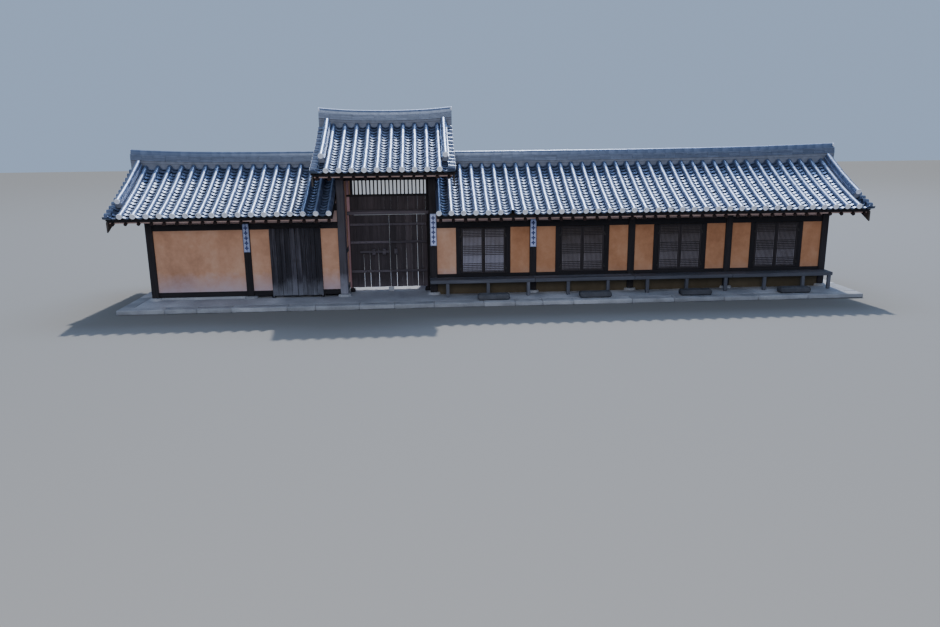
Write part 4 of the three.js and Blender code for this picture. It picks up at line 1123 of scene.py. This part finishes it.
# The gate. Board edges and keepers are measured from its right posts, and light shows at open seams.
GATE_BOARD_EDGES = {
    "left": (-2.265, -2.09, -1.908, -1.738, -1.503, -1.34, -1.1875),
    "right": (-1.1825, -1.01, -0.87, -0.737, -0.58, -0.427, -0.29, -0.155),
}
TIGHT_SEAM = 0.0006  # half the width of a closed seam. The next two give that of open ones.
OPEN_SEAMS = dict.fromkeys((-1.908, -1.738, -1.503, -1.01, -0.737, -0.427), 0.006)
OPEN_TO_TOP = {-0.427: 0.003}
SEAM_LEVELS = (0.5, 0.8, 1.1, 1.4)
SEAM_HEAD = SEAM_LEVELS[-1]
GATE_LEAF_LEVELS = (0.24, 2.24)
GATE_BATTENS = (0.692, 1.498, 1.985)
GATE_BATTEN_DEPTH = 0.05
GATE_LEAF_THICK = 0.04
GATE_PIVOT = 0.02  # in from the leaf's edge
PIVOT_BLOCK = 0.14
PIVOT_BLOCK_TOP = 0.2247
GATE_JAMB = (0.08, 0.12)  # width and depth, in the frame of the doors
KEEPERS = {"left": (-1.62, -1.34), "right": (-1.02,)}
LATCH_Z = 1.238
LATCH_HEIGHT = 0.065
GATE_HEAD = (2.25, 2.37)
LINING_TOP = 2.9
SLATS = 20
SLAT_PITCH = 0.104
SLAT_RAILS = ((2.74, 2.79), (3.18, 3.26))
leaf_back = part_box("gate_leaf_left")[1].y
leaf_front = leaf_back - GATE_LEAF_THICK
batten_face = leaf_front - GATE_BATTEN_DEPTH
frame_front = leaf_back + 0.014


def tapered_board(shape, feet, heads, ys, foot):
    """An upright board worn at its foot, where the seams beside it open."""
    levels = np.array([foot, *SEAM_LEVELS, GATE_LEAF_LEVELS[1]])
    rings = []
    for z in levels:
        share = min(1.0, (z - foot) / (SEAM_HEAD - foot))
        low, high = (a + share * (b - a) for a, b in zip(feet, heads))
        section = np.array(rectangle(high - low, *ys, 0.004))
        rings.append(np.column_stack([(low + high) / 2 + section[:, 0], section[:, 1], np.full(8, z)]))
    shape.loft(np.stack(rings), "door", levels, section)


def gate_leaf(hand, name):
    """A leaf of heavy boards on three battens, with the keepers of the bar."""
    node = f"gate_leaf_{name}"
    low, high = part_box(node)
    shape = Shape(f"gate_door_{name}")
    edges = GATE_BOARD_EDGES[name]

    def sides(first, last, seams):
        """A board's two edges, which stand back from the middle of the seams beside it."""
        low, high = (0.0 if edge in (edges[0], edges[-1]) else seams.get(edge, TIGHT_SEAM)
                     for edge in (first, last))
        return gate_right + first + low, gate_right + last - high

    for first, last in pairs(edges):
        feet = sides(first, last, OPEN_SEAMS)
        heads = sides(first, last, OPEN_TO_TOP)
        lean = shape.rng.uniform(0, 0.003)
        foot = GATE_LEAF_LEVELS[0] + shape.rng.uniform(0, 0.01)
        tapered_board(shape, feet, heads, (leaf_front + lean, leaf_back), foot)
    ends = within((gate_right + edges[0], gate_right + edges[-1]), 0.015)
    for z in GATE_BATTENS:
        shape.member(ends, (batten_face, leaf_front - GAP), about(z, 0.065), "door_rail", 0.008)
        shape.studs([(gate_right + (a + b) / 2, batten_face, z) for a, b in pairs(edges)], 0.011)
    for x in KEEPERS[name]:
        keeper(shape, gate_right + x)
    pivot = gate_right + (edges[0] if hand < 0 else edges[-1]) - hand * GATE_PIVOT
    for zs in ((low.z, GATE_LEAF_LEVELS[0] + 0.02), (GATE_LEAF_LEVELS[1] - 0.01, high.z)):
        shape.pin(pivot, (leaf_front + leaf_back) / 2, zs, 0.016, "door")
    shape.finish(node, node)


def keeper(shape, x):
    """A block with a slot, which the gate's bar slides through."""
    half = LATCH_HEIGHT / 2
    low, high = (LATCH_Z - half - GAP, LATCH_Z + half + 0.005)
    front = batten_face - 0.075
    back = leaf_front - GAP
    sides = within((low, high), GAP)
    for ys, zs, chamfer in (
        ((front, back), (low - 0.045, low), 0.01),
        ((front, back), (high, high + 0.04), 0.01),
        ((front + 0.002, batten_face - 0.0503), sides, 0.003),
        ((batten_face, back), sides, 0.003),
    ):
        shape.member(about(x, 0.09), ys, zs, "door_rail", chamfer)


def gate_bar():
    shape = Shape("locking_bar")
    shape.member(*zip(*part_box("gate_bar")), "door_rail", 0.008, 0.001, 8)
    shape.finish("gate_bar", "gate_bar")


def gate_frame(name, side, left_look):
    shape = Shape(f"gate_{name}_timbers")
    y = side * HALF_DEPTH
    for x, look in ((gate_left, left_look), (gate_right, "timber")):
        zs = (PLINTH_TOP + GAP, POST_TOP + GATE_LIFT)
        shape.member(about(x, GATE_POST), about(y, GATE_POST), zs, look, 0.014)
    shape.member(gate_inside, about(y, FRAME_DEPTH), GATE_BEAM, "beam", 0.01)
    above = (GATE_BEAM[1] + GAP, TIE_TOP + GATE_LIFT + UNDER_LOG)
    shape.member(gate_inside, about(y, PLASTER), above, "infill", 0.004)
    purlin(shape, within(gate_ends, PURLIN_INSET), y, EAVE_LOG, GATE_LIFT)
    shape.finish(f"gate_{name}_frame")


def gate_sides():
    timbers = Shape("gate_side_timbers")
    fields = Shape("gate_side_plaster")
    for x in (gate_left, gate_right):
        cross_wall(timbers, fields, x, GATE_POST / 2, GATE_PLASTER, LEFT_SILL, GATE_LIFT)
    purlin(timbers, within(gate_ends, PURLIN_INSET), 0, RIDGE_LOG, GATE_LIFT)
    for hand, x in ((1, gate_left), (-1, gate_right)):
        lining(timbers, x + hand * GATE_PLASTER / 2, hand)
    timbers.finish("gate_side_walls")
    fields.finish()


def lining(shape, face, hand):
    """The red-brown boards that line the passage in front of the gate's leaves. Their colour is painted
    paler than the other timber, as painted sunlight.
    """
    reach = HALF_DEPTH - GATE_POST / 2 - GAP
    low, high = within((LEFT_SILL[1], MID_RAIL[0]), GAP)
    for edges in pairs(edge_list(-reach, frame_front, 4, shape.rng)):
        for zs in ((low, high), (MID_RAIL[1] + GAP, LINING_TOP)):
            shape.member((face, face + hand * 0.014), within(edges, 0.001), zs, "sunlit_reddish", 0.003)


def gate_door_frame():
    shape = Shape("gate_door_timbers")
    width, depth = GATE_JAMB
    ys = (frame_front, frame_front + depth)
    ledge = (leaf_front - 0.0325, frame_front - GAP)
    foot, top = PLATFORM_TOP + GAP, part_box("gate_door_frame")[1].z
    # The left jamb takes the paler red-brown wood, as painted sunlight; the right one is dark timber.
    for outer, hand, look in ((gate_inside[0], 1, "sunlit_reddish"), (gate_inside[1], -1, "timber")):
        shape.member((outer, outer + hand * width), ys, (foot, top), look, 0.008)
        xs = (outer, outer + hand * PIVOT_BLOCK)
        shape.member(xs, ledge, (foot, PIVOT_BLOCK_TOP), "stop", 0.012, 0.002, 4)
    inside = within(gate_inside, width + GAP)
    shape.member(inside, ys, GATE_HEAD, "door_rail", 0.01)
    shape.member(gate_inside, ledge, (GATE_HEAD[0] + GAP, 2.34), "door_rail", 0.01)
    y = (ys[0] + ys[1]) / 2
    for edges in pairs(edge_list(*inside, 9, shape.rng)):
        front = y - 0.02 + shape.rng.uniform(0, 0.004)
        shape.member(within(edges, SEAM / 2), (front, y + 0.02), (GATE_HEAD[1] + GAP, top), "door", 0.004)
    shape.finish("gate_door_frame")


def gate_bars():
    """The slats over the gate's doors, between two rails."""
    xs, ys, _ = zip(*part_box("gate_bars"))
    shape = Shape("gate_slats")
    for heights in SLAT_RAILS:
        shape.member(xs, ys, heights, "timber")
    between = (SLAT_RAILS[0][1], SLAT_RAILS[1][0])
    # The left end board takes the paler red-brown wood, as painted sunlight; the right one is dark timber.
    for x, hand, look in ((xs[0], 1, "sunlit_reddish"), (xs[1], -1, "timber")):
        shape.member((x, x + hand * 0.06), within(ys, 0.002), within(between, GAP), look)
    for n in range(SLATS):
        x = gate_centre + (n - (SLATS - 1) / 2) * SLAT_PITCH
        y = (ys[0] + ys[1]) / 2
        shape.member(about(x, 0.036), about(y, 0.036), within(between, -0.002), "timber", 0.004)
    shape.finish("gate_bars")


# Hung boards
BORDER = 0.009  # from a board's edge to the middle of its border
PETALS = ((0, 1, 0.018, 0.028), (0, -1, 0.018, 0.028), (1, 0, 0.026, 0.018), (-1, 0, 0.026, 0.018))


def petal(shape, x, z, face, reach):
    across, up = circle(8)
    rings = np.empty((2, 8, 3))
    rings[..., 0] = x + reach[0] * across
    rings[..., 1] = np.array(face)[:, None]
    rings[..., 2] = z + reach[1] * up
    shape.tube(rings, "board_ink")


def hung_board(number, motifs, tone):
    """A painted board with a thin dark border and a row of small rosettes of four petals. A low tone
    darkens and greys it, as painted shade.
    """
    node = f"post_board_{number}"
    xs, ys, zs = zip(*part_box(node))
    shape = Shape(f"hung_board_{number}")
    shape.member(xs, (ys[0] + 0.004, ys[1]), zs, "board_paint", 0.004, tone=tone)
    face = (ys[0] + 0.0025, ys[0] + 0.0045)
    across, up = within(xs, BORDER), within(zs, BORDER)
    for x in across:
        shape.member(about(x, 0.005), face, up, "board_ink", 0.0005)
    for z in up:
        shape.member(across, face, about(z, 0.005), "board_ink", 0.0005)
    centre = (xs[0] + xs[1]) / 2
    step = (zs[1] - zs[0] - 0.09) / motifs
    for z in zs[0] + 0.045 + step * (0.5 + np.arange(motifs)):
        for over, above, wide, high in PETALS:
            petal(shape, centre + 0.029 * over, z + 0.033 * above, face, (wide, high))
    for z in within(zs, 0.022):
        shape.studs([(centre, ys[0] + 0.004, z)], 0.005)
    shape.finish(node)


# Ground works
EDGE_DEPTH = 0.34  # of the stones round the platform
STONE_JOINT = 0.006
FRONT_STONES = (0.7, 1.7)  # the shortest and the longest, along the front and the rear
END_STONES = (0.6, 1.4)


def course(start, end, rng, shortest, longest):
    """The ends of stones laid in a row."""
    places = [start]
    while places[-1] < end - longest:
        places.append(places[-1] + rng.uniform(shortest, longest))
    places.append(end)
    return pairs(places)


def platform():
    xs, ys, _ = zip(*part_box("stone_platform"))
    shape = Shape("platform_stones")
    for side, y in zip((-1, 1), ys):
        for first, last in course(*xs, shape.rng, *FRONT_STONES):
            zs = (0, PLATFORM_TOP - shape.rng.uniform(0, 0.004))
            stone_xs = (first, last - STONE_JOINT)
            shape.member(stone_xs, (y, y - side * EDGE_DEPTH), zs, "stone", 0.014, 0.004, 6)
    for out, x in zip((-1, 1), xs):
        for first, last in course(*within(ys, EDGE_DEPTH), shape.rng, *END_STONES):
            stone_ys = (first, last - STONE_JOINT)
            zs = (0, PLATFORM_TOP - 0.002)
            shape.member((x, x - out * EDGE_DEPTH), stone_ys, zs, "stone", 0.014, 0.004, 6)
    shape.finish("stone_platform")
    top = Shape("platform_top")
    inside = within(xs, EDGE_DEPTH), within(ys, EDGE_DEPTH + 0.003)
    top.member(*inside, (0.0, PLATFORM_TOP - 0.003), "paving", 0.002, 0.0012, 60)
    top.finish()


def plinth(shape, x, y):
    """A rough foundation stone, wider at its foot."""
    across, deep = circle(14)
    uneven = 1 - np.abs(shape.rng.normal(0, 0.025, 14))
    rings = []
    for z, reach in ((FOOTING_FOOT, 0.19), (0.15, 0.182), (0.172, 0.168), (PLINTH_TOP, 0.148)):
        radius = reach * uneven if z < PLINTH_TOP else np.full(14, reach)
        rings.append(np.column_stack([x + radius * across, y + radius * deep, np.full(14, z)]))
    shape.tube(rings, "stone")


def plinths():
    """A stone under each post, and one where the gate's leaves meet."""
    shape = Shape("plinth_stones")
    for side in (-1, 1):
        for x in (*left.posts, *right.posts, gate_left, gate_right):
            plinth(shape, x, side * HALF_DEPTH)
    xs, ys = about(gate_centre + 0.025, 0.15), (leaf_back - 0.036, leaf_back + 0.074)
    shape.member(xs, ys, (FOOTING_FOOT, PIVOT_BLOCK_TOP), "stone", 0.015, 0.003, 4)
    shape.finish()


def footings():
    """The low walls under the timber walls: plastered earth under the porch and stone elsewhere."""
    shape = Shape("footing_walls")
    front, rear = about(-HALF_DEPTH, FRAME_DEPTH), about(HALF_DEPTH, FRAME_DEPTH)
    for n in range(RIGHT_BAYS):
        zs = (FOOTING_FOOT, RIGHT_SILL[0] - GAP)
        shape.member(right.beside(n), front, zs, "earth_wall", 0.004)
    low_wall = (FOOTING_FOOT, PLINTH_TOP)
    for wing in (right, left):
        shape.member((wing.face, wing.end), rear, low_wall, "stone", 0.008, 0.002, 20)
    shape.member((left.end, left.posts[0]), front, low_wall, "stone", 0.008, 0.002, 10)
    for x in (left.end, gate_left, gate_right, right.end):
        ys, zs = (-HALF_DEPTH, HALF_DEPTH), (FOOTING_FOOT, PLINTH_TOP - GAP)
        shape.member(about(x, FRAME_DEPTH), ys, zs, "stone", 0.008, 0.002, 10)
    xs, ys, zs = zip(*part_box("right_floor"))
    shape.member(xs, ys, (FOOTING_FOOT, zs[0] - GAP), "earth_wall", 0.004)
    shape.finish()


def step_stones():
    for n in range(1, RIGHT_BAYS + 1):
        shape = Shape(f"step_block_{n}")
        shape.member(*zip(*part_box(f"step_stone_{n}")), "step", 0.03, 0.006, 8)
        shape.finish(f"step_stone_{n}")


# Porch
PORCH_FOOT = 0.486  # of the beams that carry its boards
PORCH_BEAM = 0.09
PORCH_BOARD = 0.035
PORCH_LEG = 0.085
FIRST_LEG = 0.36  # from the gate's right posts
LEG_PITCH = 1.08
LEGS = 10


def porch():
    low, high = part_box("porch")
    shape = Shape("porch_boards")
    top, below = high.z, high.z - PORCH_BOARD - 0.0005
    edges = np.linspace(low.y + PORCH_BEAM, high.y, 4)
    for first, last in pairs([low.x, *right.posts[:-1], high.x]):
        for near, far in pairs(edges):
            if first < gate_right + 0.11:
                far = min(far, -HALF_DEPTH - GATE_POST / 2 - 0.001)
            zs = (top - PORCH_BOARD, top - shape.rng.uniform(0, 0.003))
            xs, ys = within((first, last), SEAM), within((near, far), SEAM / 2)
            shape.member(xs, ys, zs, "porch", 0.004, 0.0008, 6)
        ys = (low.y, low.y + PORCH_BEAM - 0.001)
        shape.member(within((first, last), SEAM / 2), ys, (PORCH_FOOT, top), "porch", 0.01)
    shape.member((right.face + GAP, high.x), (high.y - PORCH_BEAM, high.y), (PORCH_FOOT, below), "porch")
    legs = [gate_right + FIRST_LEG + LEG_PITCH * n for n in range(LEGS)]
    for x in (*legs, high.x - PORCH_LEG):
        ys = (low.y + 0.003, low.y + PORCH_LEG)
        zs = within((PLATFORM_TOP, PORCH_FOOT), GAP)
        shape.member(about(x, PORCH_LEG), ys, zs, "porch", 0.008)
        ys = within((low.y, high.y), PORCH_BEAM + 0.0005)
        shape.member(about(x, 0.07), ys, (PORCH_FOOT + 0.004, below), "porch", 0.005)
    shape.finish("porch")


# Building
def cad_look(node, look):
    """The finish of a CAD node that shows as it is."""
    node.data.materials.clear()
    node.data.materials.append(LOOKS[look])


def cad_looks():
    cad_look(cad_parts["right_floor"], "oiled_paper")
    for name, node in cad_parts.items():
        if "_panel_" in name:
            pale = name.startswith("left") or name == "right_panel_1"
            cad_look(node, "pale_plaster" if pale else "plaster")


def ground_works():
    platform()
    plinths()
    footings()
    step_stones()
    porch()


def walls():
    right_front()
    left_front()
    eave_plaster()
    for wing in (right, left):
        rear_wall(wing)
        end_wall(wing)
        roof_timbers(wing)


def gate():
    gate_frame("front", -1, "gate_post")
    gate_frame("rear", 1, "timber")
    gate_sides()
    gate_door_frame()
    gate_bars()
    gate_bar()


def doors():
    for hand, name in ((-1, "left"), (1, "right")):
        gate_leaf(hand, name)
        plank_leaf(hand, name)
        for bay in range(RIGHT_BAYS):
            lattice_leaf(bay, hand, name)


def roofs():
    for wing, missing in ((right, gate_right + MISSING_PLUG), (left, math.inf)):
        name, out, lift = wing.name, wing.out, wing.lift
        ends = [(wing.face + out * GATE_CLEARANCE, 0), (wing.roof_end, out)]
        row_ends = (wing.face + out * ROW_INSET[out], wing.roof_end - out * ROW_FROM_GABLE)
        roof(name, ends, row_ends, lift, missing)
        bargeboards(name, wing.roof_end, out, lift)
    ends = list(zip(gate_ends, (-1, 1)))
    roof("gate", ends, within(gate_ends, ROW_FROM_GABLE), GATE_LIFT)
    for name, (x, out) in zip(("gate_left", "gate_right"), ends):
        bargeboards(name, x, out, GATE_LIFT)


def build():
    ground_works()
    cad_looks()
    walls()
    gate()
    doors()
    # Boards 2 and 3 get lower tones, darker and greyer: painted shade, as they hang in shade.
    for number, motifs, tone in ((1, 6, 0.7), (2, 5, 0.4), (3, 5, 0.0)):
        hung_board(number, motifs, tone)
    roofs()


# Stage
def photo_camera():
    """The camera stands on the courtyard's far side, a little above the eaves, and looks down."""
    yaw, pitch, roll = (math.radians(a) for a in (3.31, 13.3, 0.65))
    level = Vector((math.cos(yaw), -math.sin(yaw), 0))
    ahead = math.cos(pitch)
    forward = Vector((math.sin(yaw) * ahead, math.cos(yaw) * ahead, -math.sin(pitch)))
    down = forward.cross(level)
    image_right = math.cos(roll) * level + math.sin(roll) * down
    image_down = -math.sin(roll) * level + math.cos(roll) * down
    data = bpy.data.cameras.new("camera")
    data.sensor_width = 36.0
    data.lens = 36.0 * 750 / 940  # a focal length of 750 in a picture 940 wide
    camera = add_to_scene("camera", data)
    camera.matrix_world = Matrix((image_right, -image_down, -forward)).transposed().to_4x4()
    camera.location = (-1.88, -21.315, 4.30)
    bpy.context.scene.camera = camera


def add_light(name, kind, place, target, energy, tint):
    data = bpy.data.lights.new(name, kind)
    data.energy = energy
    data.color = tint
    light = add_to_scene(name, data)
    light.location = place
    light.rotation_euler = (Vector(target) - Vector(place)).to_track_quat("-Z", "Y").to_euler()
    return data


def sun_light(place, strength):
    """A sun beyond the building, a little to the right, which leaves the courtyard's side in shade."""
    data = add_light("sun", "SUN", place, (0, 0, 0), strength, (1.0, 0.98, 0.95))
    data.angle = math.radians(1.5)


def area_light(name, place, target, size, power, tint):
    data = add_light(name, "AREA", place, target, power, tint)
    data.shape = "RECTANGLE"
    data.size, data.size_y = size


def studio():
    reach = 90.0
    corners = [(-reach, -reach, 0), (reach, -reach, 0), (reach, reach, 0), (-reach, reach, 0)]
    mesh = bpy.data.meshes.new("floor")
    mesh.from_pydata(corners, [], [(0, 1, 2, 3)])
    pale = Nodes("pale_floor", 0.9, 0.2)
    pale.shader.inputs["Base Color"].default_value = colour("7c7b79")
    mesh.materials.append(pale.material)
    add_to_scene("floor", mesh)
    world = bpy.data.worlds.new("soft_sky")
    world.use_nodes = True
    background = world.node_tree.nodes["Background"]
    background.inputs[0].default_value = (0.52, 0.70, 1.0, 1.0)
    background.inputs[1].default_value = 0.62
    bpy.context.scene.world = world
    sun_light((13, 62, 75), 4.6)
    area_light("sky", (9, 26, 42), (0, 0, 2.0), (34, 20), 20000, (0.44, 0.62, 1.0))
    area_light("fill", (-3, -26, 9), (-2, 0, 1.0), (12, 8), 1700, (1.0, 0.93, 0.84))


build()
photo_camera()
studio()
